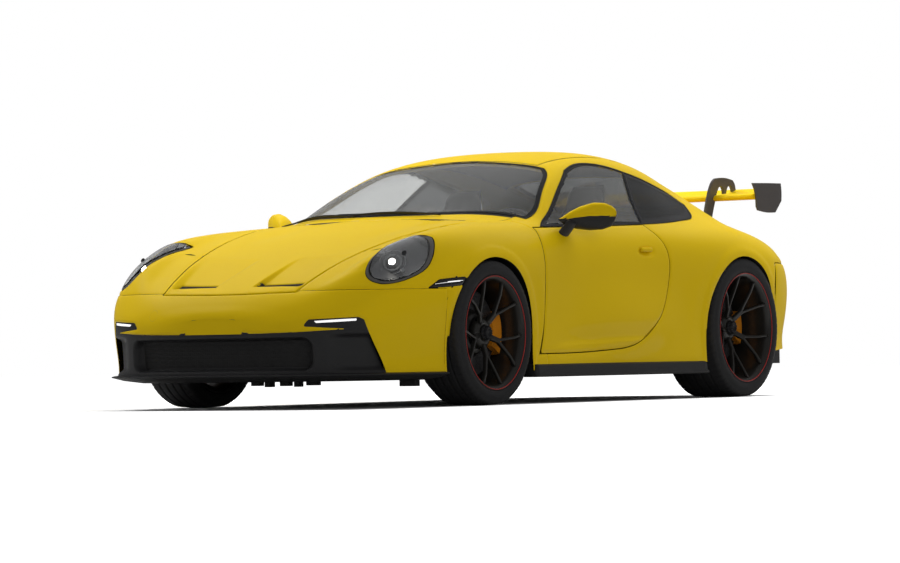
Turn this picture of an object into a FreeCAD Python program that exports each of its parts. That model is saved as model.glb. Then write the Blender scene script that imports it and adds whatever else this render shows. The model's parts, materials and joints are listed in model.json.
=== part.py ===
import FreeCAD, Part
import os
from bisect import bisect_right
from math import atan2, cos, degrees, hypot, pi, radians, sin

# A two-door rear-engined coupe with a tall rear wing, as an assembly of separate pieces.
# Lengths are in millimetres. +X points forward, +Y to the car's left, +Z up, and Z = 0 is the ground.
# Stations along the car are written from the front axle and moved to mid-length when a piece is written.

# Driving dimensions
WHEELBASE = 2457.0
FRONT_OVERHANG = 1061.0
REAR_OVERHANG = 1055.0
BODY_WIDTH = 1852.0
ROOF_HEIGHT = 1279.0
PANEL = 26.0
DOOR_WALL = 84.0
FLOOR_TOP = 232.0
MOVING_GAP = 6.0
SEAM = 0.6
SEAT_GAP = 0.4
GLASS_SET = 3.0
GLASS = 5.0

# Wheels and tyres
FRONT_TYRE_RADIUS = 343.0
FRONT_TYRE_WIDTH = 255.0
FRONT_RIM_SEAT = 254.0
FRONT_WHEEL_Y = 795.0
REAR_TYRE_RADIUS = 361.0
REAR_TYRE_WIDTH = 315.0
REAR_RIM_SEAT = 267.0
REAR_WHEEL_Y = 768.0
FRONT_DISC_RADIUS = 204.0
REAR_DISC_RADIUS = 190.0
DISC_THICKNESS = 34.0
BEAD = 21.0
SPOKES = 5
FORK_SHARE = 0.44
STEM_SPREAD = 0.05
RIM_FLANGE = 17.0
SPINDLE_RADIUS = 32.0
HUB_LENGTH = 42.0
RUNNING_GAP = 0.4
BELL = 34.0
FRONT_HUB_DEPTH = 62.0
REAR_HUB_DEPTH = 96.0

# Steering and hinges
KINGPIN_INSET = 90.0
FRONT_WELL_INNER = 470.0
REAR_WELL_INNER = 590.0
STEER_CLEARANCE = 408.0
FRONT_ARCH_RADIUS = 370.0
REAR_ARCH_RADIUS = 377.0
DOOR_HINGE_X = -600.0
DOOR_HINGE_Y = 830.0
DOOR_NOSE_RADIUS = 95.0

# Tailpipes
PIPE_RADIUS = 48.0
PIPE_Y = 62.0
PIPE_Z = 330.0

# Lamps
LAMP_Y = 722.0
LAMP_Z = 692.0
LAMP_RADIUS = 116.0
LAMP_BACK = 352.0
LAMP_WALL = 6.0
PROJECTOR_RADIUS = 38.0
PROJECTOR_LENGTH = 90.0

# Cabin
DASH_REACH = 669.0
SEAT_Y = 370.0
WHEEL_RADIUS = 172.0
WHEEL_Z = 790.0

# Suspension
BALL = 12.0
UPPER_ARM_RISE = 196.0
LOWER_ARM_DROP = 150.0

# Rear wing
WING_SPAN = 1320.0
WING_LEAD = -3040.0
WING_TRAIL = -3330.0
WING_Z = 1062.0
END_PLATE = 8.0
STAY_Y = 400.0
STAY = 12.0

# Jacking pads
JACK_PADS_X = (-560.0, -1940.0)
JACK_PAD_Y = 700.0
JACK_PAD_Z = 135.0
JACK_PAD_RADIUS = 32.0

# The drawing that the section tables come from
DRAWN_WHEELBASE = 2457.0
DRAWN_WIDTH = 1852.0
DRAWN_HEIGHT = 1279.0
SPINE = 400.0
NOSE = 1000.0
TAIL = -3500.0

FAR = 1400.0

os.makedirs("parts", exist_ok=True)
Vector = FreeCAD.Vector
MID = (FRONT_OVERHANG - WHEELBASE - REAR_OVERHANG) / 2.0
REAR = -WHEELBASE


def along(x):
    """A drawn station moved to the real wheelbase."""
    if x >= 0.0:
        return x
    if x > -DRAWN_WHEELBASE:
        return x * WHEELBASE / DRAWN_WHEELBASE
    return x + DRAWN_WHEELBASE - WHEELBASE


def wide(y):
    return y * BODY_WIDTH / DRAWN_WIDTH


def tall(z):
    return z * ROOF_HEIGHT / DRAWN_HEIGHT


# Curves
def law(*knots):
    """A smooth value along the car that passes its knots and never overshoots between them."""
    rows = sorted(knots)
    x = [row[0] for row in rows]
    y = [row[1] for row in rows]
    h = [b - a for a, b in zip(x, x[1:])]
    d = [(b - a) / step for a, b, step in zip(y, y[1:], h)]
    m = [d[0]]
    for i in range(1, len(x) - 1):
        if d[i - 1] * d[i] > 0.0:
            a = 2.0 * h[i] + h[i - 1]
            b = h[i] + 2.0 * h[i - 1]
            m.append((a + b) / (a / d[i - 1] + b / d[i]))
        else:
            m.append(0.0)
    m.append(d[-1])

    def value(q):
        q = min(max(q, x[0]), x[-1])
        i = min(max(bisect_right(x, q) - 1, 0), len(x) - 2)
        t = (q - x[i]) / h[i]
        start = (2 * t ** 3 - 3 * t ** 2 + 1) * y[i] + (t ** 3 - 2 * t ** 2 + t) * h[i] * m[i]
        end = (-2 * t ** 3 + 3 * t ** 2) * y[i + 1] + (t ** 3 - t ** 2) * h[i] * m[i + 1]
        return start + end

    return value


def smooth_line(points, samples=160):
    """Points on a uniform cubic B-spline: mirrored about the centre plane, straight at its foot."""
    first = (-points[1][0], points[1][1])
    last = (2 * points[-1][0] - points[-2][0], 2 * points[-1][1] - points[-2][1])
    q = [first] + list(points) + [last]
    spans = len(q) - 3
    line = []
    for k in range(samples):
        t = min(spans * k / (samples - 1.0), spans - 1e-9)
        i = int(t)
        u = t - i
        w = ((1 - u) ** 3 / 6, (3 * u ** 3 - 6 * u ** 2 + 4) / 6,
             (-3 * u ** 3 + 3 * u ** 2 + 3 * u + 1) / 6, u ** 3 / 6)
        line.append((sum(w[j] * q[i + j][0] for j in range(4)), sum(w[j] * q[i + j][1] for j in range(4))))
    return line


# Lines of the lower body, by station from the front axle
centre_z = law(
    (1000, 420), (990, 446), (970, 478), (940, 512), (900, 541), (865, 556), (800, 582), (700, 620),
    (600, 655), (400, 722), (200, 782), (0, 832), (-200, 872), (-400, 903), (-600, 925), (-900, 935),
    (-1500, 940), (-2100, 985), (-2400, 1045), (-2600, 1035), (-2800, 990), (-3000, 948), (-3150, 920),
    (-3250, 900), (-3330, 868), (-3400, 810), (-3450, 720), (-3480, 600), (-3495, 500), (-3500, 440))
crest_y = law(
    (1000, 120), (985, 230), (960, 330), (900, 450), (850, 520), (800, 565), (700, 615), (600, 640),
    (450, 668), (300, 690), (100, 708), (-100, 718), (-400, 728), (-700, 752), (-1000, 770),
    (-1400, 778), (-1700, 776), (-2100, 752), (-2400, 735), (-2700, 705), (-3000, 655), (-3200, 600),
    (-3350, 520), (-3450, 400), (-3490, 250), (-3500, 150))
crest_z = law(
    (1000, 416), (985, 438), (960, 470), (900, 515), (850, 552), (800, 595), (700, 672), (600, 732),
    (450, 788), (300, 822), (100, 848), (-100, 864), (-400, 874), (-700, 872), (-1000, 872),
    (-1400, 876), (-1700, 884), (-2100, 900), (-2400, 905), (-2700, 880), (-3000, 835), (-3200, 785),
    (-3350, 725), (-3450, 640), (-3490, 500), (-3500, 436))
flank_y = law(
    (1000, 160), (990, 300), (975, 400), (950, 500), (900, 595), (850, 665), (800, 722), (700, 790),
    (600, 838), (450, 880), (300, 905), (100, 920), (-100, 920), (-300, 905), (-500, 880), (-800, 868),
    (-1300, 872), (-1700, 885), (-2000, 905), (-2250, 922), (-2500, 926), (-2700, 916), (-2900, 880),
    (-3050, 832), (-3180, 776), (-3300, 695), (-3380, 602), (-3440, 500), (-3480, 370), (-3500, 200))
flank_z = law(
    (1000, 380), (950, 395), (850, 425), (700, 475), (450, 540), (100, 590), (-300, 600), (-800, 640),
    (-1300, 660), (-1700, 660), (-2100, 640), (-2500, 630), (-2900, 600), (-3200, 520), (-3500, 400))
sill_y = law(
    (1000, 150), (990, 260), (975, 370), (950, 465), (900, 575), (850, 650), (800, 705), (700, 770),
    (600, 812), (450, 860), (300, 885), (0, 895), (-400, 885), (-1000, 880), (-1600, 888),
    (-2050, 900), (-2500, 905), (-2700, 897), (-2860, 868), (-3050, 805), (-3180, 745), (-3300, 660),
    (-3400, 540), (-3460, 400), (-3500, 180))
sill_z = law(
    (1000, 340), (990, 250), (975, 185), (950, 160), (850, 155), (450, 155), (0, 158), (-400, 162),
    (-1200, 172), (-2040, 186), (-2500, 210), (-2900, 240), (-3300, 255), (-3450, 280), (-3500, 330))

# Lines of the greenhouse
roof_z = law(
    (-300, 300), (-420, 860), (-520, 915), (-700, 1003), (-900, 1096), (-1100, 1180), (-1230, 1224),
    (-1400, 1258), (-1550, 1274), (-1700, 1279), (-1900, 1266), (-2100, 1235), (-2300, 1184),
    (-2500, 1122), (-2700, 1050), (-2900, 975), (-3050, 915), (-3200, 800), (-3300, 300))
belt_y = law(
    (-300, 150), (-400, 330), (-460, 480), (-540, 610), (-640, 700), (-760, 752), (-1000, 785),
    (-1300, 797), (-1600, 794), (-1900, 768), (-2150, 726), (-2400, 668), (-2700, 590), (-2950, 520),
    (-3100, 470), (-3300, 400))
belt_z = law(
    (-300, 850), (-600, 868), (-900, 872), (-1700, 892), (-2000, 912), (-2400, 930), (-2800, 880),
    (-3200, 800))
shoulder_blend = law((-300, 20), (-1800, 20), (-2100, 60), (-2400, 140), (-2800, 120), (-3200, 60))
GREENHOUSE_FRONT = -405.0
GREENHOUSE_REAR = -3180.0
shoulder = law((1000, 0), (550, 0), (150, 1), (-3500, 1))
rail_spread = law((-300, 1.08), (-700, 1.08), (-1000, 1.075), (-1250, 1.035), (-1500, 1.0), (-3300, 1.0))


def lower_section(x):
    """Half section of the lower body at station x, from the centre line out and down to the sill."""
    c, f, fz = centre_z(x), crest_y(x), crest_z(x)
    w, wz, s, sz = flank_y(x), flank_z(x), sill_y(x), sill_z(x)
    valley = fz - 0.30 * (fz - c) if fz > c else fz + 0.25 * (c - fz)
    k = shoulder(x)
    return smooth_line([
        (0, c), (0.30 * f, c + 0.02 * (fz - c)), (0.62 * f, c + 0.12 * (fz - c)), (0.86 * f, valley),
        (f, fz + 6), (f + (0.42 + 0.13 * k) * (w - f), fz - (0.22 - 0.12 * k) * (fz - wz)),
        (w - 14 + 16 * k, wz + (0.42 + 0.13 * k) * (fz - wz)),
        (w + 4, wz), (w - 6 + 0.3 * (s - w), wz - 0.45 * (wz - sz)), (s - 6, sz + 0.22 * (wz - sz)),
        (s, sz)])


def upper_section(x):
    """Half section of the greenhouse at station x, run on below the belt so that it meets the body."""
    r, b, bz = roof_z(x), belt_y(x), belt_z(x)
    h = r - bz
    y = b * rail_spread(x)
    return smooth_line([
        (0, r), (0.33 * y, r - 0.015 * h), (0.56 * y, r - 0.07 * h), (0.715 * y, r - 0.19 * h),
        (0.79 * y, r - 0.42 * h), (0.89 * y, r - 0.71 * h), (b, bz), (1.08 * b, bz - 120),
        (1.1 * b, bz - 300)])


def polar(line):
    """Angle from straight up and distance, both about the spine, along a section."""
    angles, radii = [], []
    for y, z in line:
        a = atan2(y, z - SPINE)
        angles.append(max(a, angles[-1]) if angles else a)
        radii.append(hypot(y, z - SPINE))
    return angles, radii


def read(angles, radii, a):
    i = min(max(bisect_right(angles, a) - 1, 0), len(angles) - 2)
    span = angles[i + 1] - angles[i]
    t = min(max((a - angles[i]) / span, 0.0), 1.0) if span > 1e-12 else 0.0
    return radii[i] + t * (radii[i + 1] - radii[i])


def skin_row(x, steps):
    """Angles and distances of the body skin at station x, from the roof centre to the sill."""
    low = polar(lower_section(x))
    high = polar(upper_section(x)) if GREENHOUSE_REAR < x < GREENHOUSE_FRONT else None
    foot = low[0][-1]
    row = []
    for t in steps:
        a = t * foot
        r = read(low[0], low[1], a)
        if high:
            g = read(high[0], high[1], a)
            k = shoulder_blend(x)
            blend = max(k - abs(r - g), 0.0) / k
            r = max(r, g) + blend * blend * k / 4.0
        row.append((a, r))
    return row


ROWS = 54
COLUMNS = 34
END_SHARE = 0.02
stations = [NOSE - (NOSE - TAIL) * 0.5 * (1 - cos(END_SHARE + (pi - 2 * END_SHARE) * i / (ROWS - 1.0)))
            for i in range(ROWS)]
column_steps = [j / (COLUMNS - 1.0) - 0.055 * sin(2 * pi * (j / (COLUMNS - 1.0))) for j in range(COLUMNS)]
skin_rows = [skin_row(x, column_steps) for x in stations]


def net_surface(grid):
    """A smooth cubic surface drawn by a net of points, as a curve is drawn by its control points."""
    surface = Part.BSplineSurface()
    knots, counts = [], []
    for n in (len(grid), len(grid[0])):
        knots.append([float(k) for k in range(n - 2)])
        counts.append([4] + [1] * (n - 4) + [4])
    surface.buildFromPolesMultsKnots(grid, counts[0], counts[1], knots[0], knots[1], False, False, 3, 3)
    return surface


def skin_solid(inset=None):
    """The body as one closed solid, or the same form drawn in by inset(x, angle)."""
    grid = []
    for x, row in zip(stations, skin_rows):
        half = []
        for a, r in row:
            if inset:
                r -= inset(x, a)
            half.append(Vector(along(x), wide(r * sin(a)), tall(SPINE + r * cos(a))))
        grid.append([Vector(p.x, -p.y, p.z) for p in half[:0:-1]] + half)
    skin = net_surface(grid).toShape()
    nose, right, tail, left = skin.Edges
    floor = Part.makeRuledSurface(right, left)
    caps = []
    for end in (nose, tail):
        a, b = end.Vertexes[0].Point, end.Vertexes[-1].Point
        caps.append(Part.Face(Part.Wire([end, Part.makeLine(b, a)])))
    shell = Part.makeShell([skin, floor] + caps)
    shell.sewShape()
    solid = Part.makeSolid(shell)
    if solid.Volume < 0:
        solid.reverse()
    return solid


# Outlines and prisms
def joined(runs):
    """The corner and curve points of an outline, in order, each once."""
    return [point for run in runs for point in run[:-1]]


def turning(runs):
    """Plus one where the outline runs anticlockwise, minus one where it runs clockwise."""
    points = joined(runs)
    area = sum(a[0] * b[1] - b[0] * a[1] for a, b in zip(points, points[1:] + points[:1]))
    return 1.0 if area > 0.0 else -1.0


def normals(run, side):
    """Outward unit normals at the points of one run."""
    out = []
    for i in range(len(run)):
        a, b = run[max(i - 1, 0)], run[min(i + 1, len(run) - 1)]
        length = hypot(b[0] - a[0], b[1] - a[1])
        out.append((side * (b[1] - a[1]) / length, -side * (b[0] - a[0]) / length))
    return out


def grown(runs, gap):
    """The outline moved outward by a gap all round, inward if the gap is negative."""
    side = turning(runs)
    fields = [normals(run, side) for run in runs]
    result = []
    for k, run in enumerate(runs):
        moved = [(p[0] + gap * n[0], p[1] + gap * n[1]) for p, n in zip(run, fields[k])]
        for end, other in ((0, fields[k - 1][-1]), (-1, fields[(k + 1) % len(runs)][0])):
            n = fields[k][end]
            share = gap / (1.0 + n[0] * other[0] + n[1] * other[1])
            moved[end] = (run[end][0] + share * (n[0] + other[0]), run[end][1] + share * (n[1] + other[1]))
        result.append(moved)
    return result


def side_view(p):
    return Vector(along(p[0]), 0, tall(p[1]))


def top_view(p):
    return Vector(along(p[0]), wide(p[1]), 0)


def front_view(p):
    return Vector(0, wide(p[0]), tall(p[1]))


DRAWN_ALONG = {side_view: Vector(0, 1, 0), top_view: Vector(0, 0, 1), front_view: Vector(1, 0, 0)}


def prism(view, runs, low, high, gap=0.0):
    """An outline drawn in one view and carried through the car between two depths.

    Each run of two points is a straight line and each longer run a smooth curve.
    """
    edges = []
    for run in (grown(runs, gap) if gap else runs):
        points = [view(p) for p in run]
        if len(points) == 2:
            edges.append(Part.makeLine(points[0], points[1]))
        else:
            curve = Part.BSplineCurve()
            curve.interpolate(points)
            edges.append(curve.toShape())
    face = Part.Face(Part.Wire(edges))
    axis = DRAWN_ALONG[view]
    face.translate(axis * low)
    return face.extrude(axis * (high - low))


def halves(front, side, back):
    """A plan outline that is symmetric about the centre line, from the runs of its left half."""
    def flip(run):
        return [(x, -y) for x, y in run]
    return [flip(front[1:])[::-1] + front, side, back + flip(back[:-1])[::-1], flip(side)[::-1]]


def box(x0, x1, y0, y1, z0, z1):
    return Part.makeBox(x1 - x0, y1 - y0, z1 - z0, Vector(x0, y0, z0))


def drum(radius, x, z, y0, y1):
    return Part.makeCylinder(radius, y1 - y0, Vector(x, y0, z), Vector(0, 1, 0))


def post(radius, x, y, z0, z1):
    return Part.makeCylinder(radius, z1 - z0, Vector(x, y, z0))


def mirrored(shape):
    return shape.mirror(Vector(0, 0, 0), Vector(0, 1, 0))


def both(shape):
    return [shape, mirrored(shape)]


def write(name, *shapes):
    """One sub-part to its own file, moved so that X = 0 is the middle of the car's length."""
    whole = shapes[0] if len(shapes) == 1 else Part.makeCompound(list(shapes))
    solids = [s for s in whole.Solids if s.Volume > 1.0]
    whole = solids[0] if len(solids) == 1 else Part.makeCompound(solids)
    whole = whole.copy()
    whole.translate(Vector(-MID, 0, 0))
    whole.exportStep("parts/" + name + ".step")
    print(name, len(solids), round(whole.Volume / 1e6, 2), "litres")


def car_side(sign):
    """Everything to the left of the centre plane (sign 1) or to the right of it (sign -1)."""
    return box(-4000, FAR, min(0, sign * FAR), max(0, sign * FAR), -100, FAR)


def buffers(*spots):
    """Round rubber stops that a closed lid rests on, from (x, y, lower end), by the car's side."""
    left = [post(9, x, y, low, FAR).common(buffer_top) for x, y, low in spots]
    return {"left": left, "right": [mirrored(stop) for stop in left]}


def cabin_wall(x, a):
    """Thickness of roof, pillar and door walls, by the angle from straight up."""
    return wall_law(degrees(a))


wall_law = law((0, 26), (30, 28), (38, 36), (54, 44), (66, DOOR_WALL), (180, DOOR_WALL))

outer = skin_solid()
under = skin_solid(lambda x, a: PANEL)
seat = skin_solid(lambda x, a: PANEL + 2 * MOVING_GAP)
buffer_top = skin_solid(lambda x, a: PANEL + SEAT_GAP)
lining = skin_solid(cabin_wall)
glass_outside = skin_solid(lambda x, a: GLASS_SET)
glass_inside = skin_solid(lambda x, a: GLASS_SET + GLASS)
glass_sheet = glass_outside.cut(glass_inside)

# Outlines of the openings, panels and panes
front_lid_outline = halves([(905, 0), (898, 200), (872, 378)], [(872, 378), (-345, 602)],
                           [(-345, 602), (-405, 300), (-425, 0)])
rear_lid_outline = halves([(-2872, 0), (-2880, 240), (-2905, 455)], [(-2905, 455), (-3215, 520)],
                          [(-3215, 520), (-3300, 300), (-3325, 0)])
screen_outline = halves([(-545, 0), (-552, 260), (-580, 480), (-655, 690)],
                        [(-655, 690), (-761, 684), (-891, 636), (-1022, 584), (-1122, 532), (-1158, 496)],
                        [(-1158, 496), (-1182, 250), (-1213, 0)])
rear_screen_outline = halves([(-2290, 0), (-2296, 200), (-2330, 430)],
                             [(-2330, 430), (-2600, 420), (-2815, 400)],
                             [(-2815, 400), (-2835, 200), (-2840, 0)])

door_front = [(-568, 853), (-530, 790), (-519, 700), (-519, 560), (-513, 430), (-498, 330), (-464, 241)]
door_sill = [(-464, 241), (-875, 245), (-1231, 260)]
door_rear = [(-1231, 260), (-1380, 284), (-1533, 356), (-1648, 456), (-1703, 570), (-1719, 705),
             (-1690, 789), (-1650, 839), (-1608, 884)]
door_belt = [(-1608, 884), (-1370, 875), (-1000, 864), (-568, 853)]
door_outline = [door_front, door_sill, door_rear, door_belt]

pane_front = [(-640, 856), (-784, 913), (-906, 980), (-1068, 1073), (-1231, 1154)]
pane_top = [(-1231, 1154), (-1355, 1186), (-1479, 1198), (-1620, 1190), (-1788, 1161)]
pane_divide = [(-1788, 1161), (-1671, 1011), (-1608, 884)]
pane_belt = [(-1608, 884), (-1370, 875), (-1000, 864), (-640, 856)]
rear_pane_top = [(-1788, 1161), (-1956, 1131), (-2180, 1083), (-2300, 1042), (-2345, 1004)]
rear_pane_foot = [(-2345, 1004), (-2278, 949), (-2120, 915), (-1860, 895), (-1608, 884)]
window_outline = [pane_front, pane_top, rear_pane_top, rear_pane_foot, pane_belt]
door_pane = [pane_front, pane_top, pane_divide, pane_belt]
rear_pane = [rear_pane_top, rear_pane_foot, pane_divide[::-1]]

# Hollows
cabin = lining.common(box(along(-2030), along(-480), -FAR, FAR, FLOOR_TOP, FAR).fuse(
    box(along(-2860), along(-2029), -FAR, FAR, tall(862), FAR)))
front_bay = seat.common(box(-420, 700, -430, 430, 320, FAR))
engine_bay = seat.common(box(REAR - 400, along(-2100), -540, 540, 320, tall(830)).fuse(
    box(REAR - 860, REAR - 395, -440, 440, 320, FAR)))


def wheel_well(x, z, inner, radius, y_inner, y_lip, arch_x, arch_z, front, rear):
    """The hollow that a wheel turns in, with its arch in the flank, open at the bottom."""
    parts = [drum(radius, x, z, y_inner, y_lip), box(x - radius, x + radius, y_inner, y_lip, -10, z),
             drum(inner, arch_x, arch_z, y_lip - 1, FAR), box(rear, front, y_lip - 1, FAR, -10, arch_z)]
    return parts[0].fuse(parts[1:])


front_well = wheel_well(0, FRONT_TYRE_RADIUS, FRONT_ARCH_RADIUS, STEER_CLEARANCE, FRONT_WELL_INNER, 897,
                        -20, 330, 366, -392)
rear_well = wheel_well(REAR, REAR_TYRE_RADIUS, REAR_ARCH_RADIUS, 390, REAR_WELL_INNER, 900, REAR + 2, 352,
                       REAR + 385, REAR - 390)
windows = prism(side_view, window_outline, 300, FAR)
doorway = prism(side_view, door_outline, 600, FAR, MOVING_GAP)
door_swing = post(DOOR_NOSE_RADIUS + MOVING_GAP, DOOR_HINGE_X, DOOR_HINGE_Y, tall(237), tall(849))
lid_recess = prism(top_view, front_lid_outline, 420, FAR, MOVING_GAP).cut(seat)
rear_lid_recess = prism(top_view, rear_lid_outline, 600, FAR, MOVING_GAP).cut(seat)
hollow = outer
for tools in ([cabin, front_bay, engine_bay], [lid_recess, rear_lid_recess],
              [prism(top_view, screen_outline, 860, FAR), prism(top_view, rear_screen_outline, 860, FAR)],
              both(front_well) + both(rear_well), both(windows), both(doorway), both(door_swing)):
    hollow = hollow.cut(tools)

# Front grille opening and its mask
intake_outline = [[(0, 348), (250, 347), (480, 350)], [(480, 350), (640, 352)], [(640, 352), (776, 160)],
                  [(776, 160), (776, 100)], [(776, 100), (-776, 100)], [(-776, 100), (-776, 160)],
                  [(-776, 160), (-640, 352)], [(-640, 352), (-480, 350)],
                  [(-480, 350), (-250, 347), (0, 348)]]
intake = prism(front_view, intake_outline, 640, FAR)
mask_face = skin_solid(lambda x, a: 14.0)
mask_back = skin_solid(lambda x, a: 44.0)
mask = mask_face.common(intake).cut(mask_back).common(box(640, FAR, -FAR, FAR, 150, FAR))
hollow = hollow.cut(intake.cut(mask_back))


# Lamps: a cup in each wing behind a clear cover, and shallow lenses let into the skin
def lamp_barrel(radius, back=150.0):
    """The round headlamp's outline, seen from the front, carried back through the wing."""
    return Part.makeCylinder(radius, 850 - back, Vector(back, LAMP_Y, LAMP_Z), Vector(1, 0, 0))


lens_seat = skin_solid(lambda x, a: GLASS_SET + GLASS + SEAT_GAP)
marker_seat = skin_solid(lambda x, a: GLASS + SEAT_GAP)
marker_back = skin_solid(lambda x, a: GLASS)
lamp_pocket = lamp_barrel(LAMP_RADIUS).cut(lens_seat).fuse(lamp_barrel(LAMP_RADIUS, LAMP_BACK))
lamp_cup = lens_seat.common(lamp_barrel(LAMP_RADIUS - SEAT_GAP, LAMP_BACK + SEAT_GAP)).cut(
    lamp_barrel(LAMP_RADIUS - LAMP_WALL, LAMP_BACK + LAMP_WALL))
projector = Part.makeCylinder(PROJECTOR_RADIUS, PROJECTOR_LENGTH, Vector(LAMP_BACK + 1, LAMP_Y, LAMP_Z),
                              Vector(1, 0, 0))
marker_outline = [[(495, 553), (425, 590)], [(425, 590), (330, 598), (240, 603)], [(240, 603), (276, 566)],
                  [(276, 566), (380, 559), (495, 553)]]
strip_outline = [[(452, 366), (600, 372), (735, 386)], [(735, 386), (742, 410)],
                 [(742, 410), (600, 400), (466, 392)], [(466, 392), (452, 366)]]
tail_outline = [[(-800, 742), (0, 752), (800, 742)], [(800, 742), (800, 770)],
                [(800, 770), (0, 780), (-800, 770)], [(-800, 770), (-800, 742)]]
marker = prism(side_view, marker_outline, 800, FAR)
strip = prism(front_view, strip_outline, 700, FAR)
tail_strip = prism(front_view, tail_outline, -4000, -2990)
lenses = [glass_sheet.common(lamp_barrel(LAMP_RADIUS - SEAM)),
          glass_sheet.common(prism(front_view, strip_outline, 700, FAR, -SEAM)),
          outer.common(prism(side_view, marker_outline, 800, FAR, -SEAM)).cut(marker_back)]
hollow = hollow.cut(both(lamp_pocket) + both(marker.cut(marker_seat)))
hollow = hollow.cut(both(strip.cut(lens_seat)) + [tail_strip.cut(lens_seat)])

# The body's panels, cut from the hollow form one after another
rest = hollow


def panel(region):
    """The part of the remaining body that lies in a region, which then leaves the rest."""
    global rest
    piece = rest.common(region)
    rest = rest.cut(region)
    return piece


tub_front = box(-480, 430, -590, 590, 0, 745).fuse(box(429, 790, -590, 590, 0, tall(549)))
tub_rear = box(REAR - 395, along(-2030), -590, 590, 0, tall(862)).fuse(
    box(REAR - 860, REAR - 394, -500, 500, 0, tall(640)))
floor_region = box(along(-2030), -480, -760, 760, 0, FLOOR_TOP)
jack_pads = [post(JACK_PAD_RADIUS, x, y, JACK_PAD_Z, 205)
             for x in JACK_PADS_X for y in (-JACK_PAD_Y, JACK_PAD_Y)]
tunnel = box(-1870, -700, -110, 110, FLOOR_TOP, 420)
write("floor_pan", panel(floor_region).fuse(jack_pads + [tunnel]))
write("front_tub", panel(tub_front))
write("rear_tub", panel(tub_rear))
write("front_bumper", panel(box(380, FAR, -FAR, FAR, 0, tall(549))))
tail_holes = [Part.makeCylinder(PIPE_RADIUS + 4, 200, Vector(-3600, sign * PIPE_Y, PIPE_Z), Vector(1, 0, 0))
              for sign in (-1, 1)]
write("rear_bumper", panel(box(-4000, REAR - 385, -FAR, FAR, 0, tall(700))).cut(tail_holes))
roof_outline = halves([(-1225, 0), (-1205, 240), (-1180, 440)], [(-1180, 440), (-1700, 470), (-2310, 440)],
                      [(-2310, 440), (-2285, 220), (-2280, 0)])
write("roof_panel", panel(prism(top_view, roof_outline, 1000, FAR)))
cowl_region = box(-780, -380, -640, 640, 700, 960)
write("cowl", panel(cowl_region))
lid_stops = buffers((760, 340, 552), (-250, 560, 750))
tail_stops = buffers((-2930, 449, 720), (-3150, 487, 720))
hinge_levels = ((330, 392), (640, 702))


def hinge_leaf(z0, z1):
    """A door hinge's body half: an eye about the door's axis and an arm that runs round to the post."""
    low, high = z0 + MOVING_GAP, z1 - MOVING_GAP
    x, y = DOOR_HINGE_X, DOOR_HINGE_Y
    inner = y - 94
    eye = post(16, x, y, low, high)
    arm = box(x - 14, x + 14, inner, y, low, high).fuse(box(x - 14, -480.3, inner, inner + 18, low, high))
    foot = box(-503, -480.3, inner, y - 10, low, high)
    return eye.fuse([arm, foot]).cut(post(8 + RUNNING_GAP, x, y, low - 1, high + 1))


wing_region = box(-530, FAR, -FAR, FAR, 0, FAR)
leaves = [hinge_leaf(*level) for level in hinge_levels]
for side, sign in (("left", 1), ("right", -1)):
    turned = leaves if sign > 0 else [mirrored(leaf) for leaf in leaves]
    write("wing_" + side, panel(wing_region.common(car_side(sign))).fuse(lid_stops[side] + turned))
side_frame = panel(car_side(-1)).fuse(tail_stops["right"])
write("side_frame_right", side_frame)
write("side_frame_left", mirrored(side_frame))

# Lids, doors and glass
write("front_lid", outer.common(prism(top_view, front_lid_outline, 420, FAR)).cut(under))
write("rear_lid", outer.common(prism(top_view, rear_lid_outline, 600, FAR)).cut(under))
nose_post = post(DOOR_NOSE_RADIUS, DOOR_HINGE_X, DOOR_HINGE_Y, 0, FAR)
door_reach = box(-4000, DOOR_HINGE_X, 0, FAR, 0, FAR).fuse(nose_post)
door = outer.common(prism(side_view, door_outline, 300, FAR)).common(door_reach).cut(lining)
for z0, z1 in hinge_levels:
    notch = box(DOOR_HINGE_X - 40, -400, 600, DOOR_HINGE_Y + 16 + MOVING_GAP, z0, z1)
    door = door.cut(notch).fuse(post(8, DOOR_HINGE_X, DOOR_HINGE_Y, z0 - 5, z1 + 5))
pane = glass_sheet.common(prism(side_view, door_pane, 300, FAR, -MOVING_GAP))
back_pane = glass_sheet.common(prism(side_view, rear_pane, 300, FAR, -SEAM))
for side, shapes in zip(("left", "right"), zip(both(door), both(pane), both(back_pane))):
    write("door_" + side, shapes[0])
    write("door_glass_" + side, shapes[1])
screens = [glass_sheet.common(prism(top_view, outline, 860, FAR, -SEAM))
           for outline in (screen_outline, rear_screen_outline)]
write("fixed_glass", *(screens + both(back_pane)))
write("intake_mask", mask)
write("lamp_lenses", *[one for shape in lenses for one in both(shape)])
write("lamp_cups", *both(lamp_cup.fuse(projector)))
write("tail_lamp", glass_sheet.common(prism(front_view, tail_outline, -4000, -2990, -SEAM)))


# Wheels
def revolved(profile, x, y, z):
    """A closed profile of (radius, offset along the axle) points turned about the axle at x, y, z."""
    points = [Vector(0, offset, radius) for radius, offset in profile]
    face = Part.Face(Part.makePolygon(points + points[:1]))
    ring = face.revolve(Vector(0, 0, 0), Vector(0, 1, 0), 360)
    ring.translate(Vector(x, y, z))
    return ring


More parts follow.
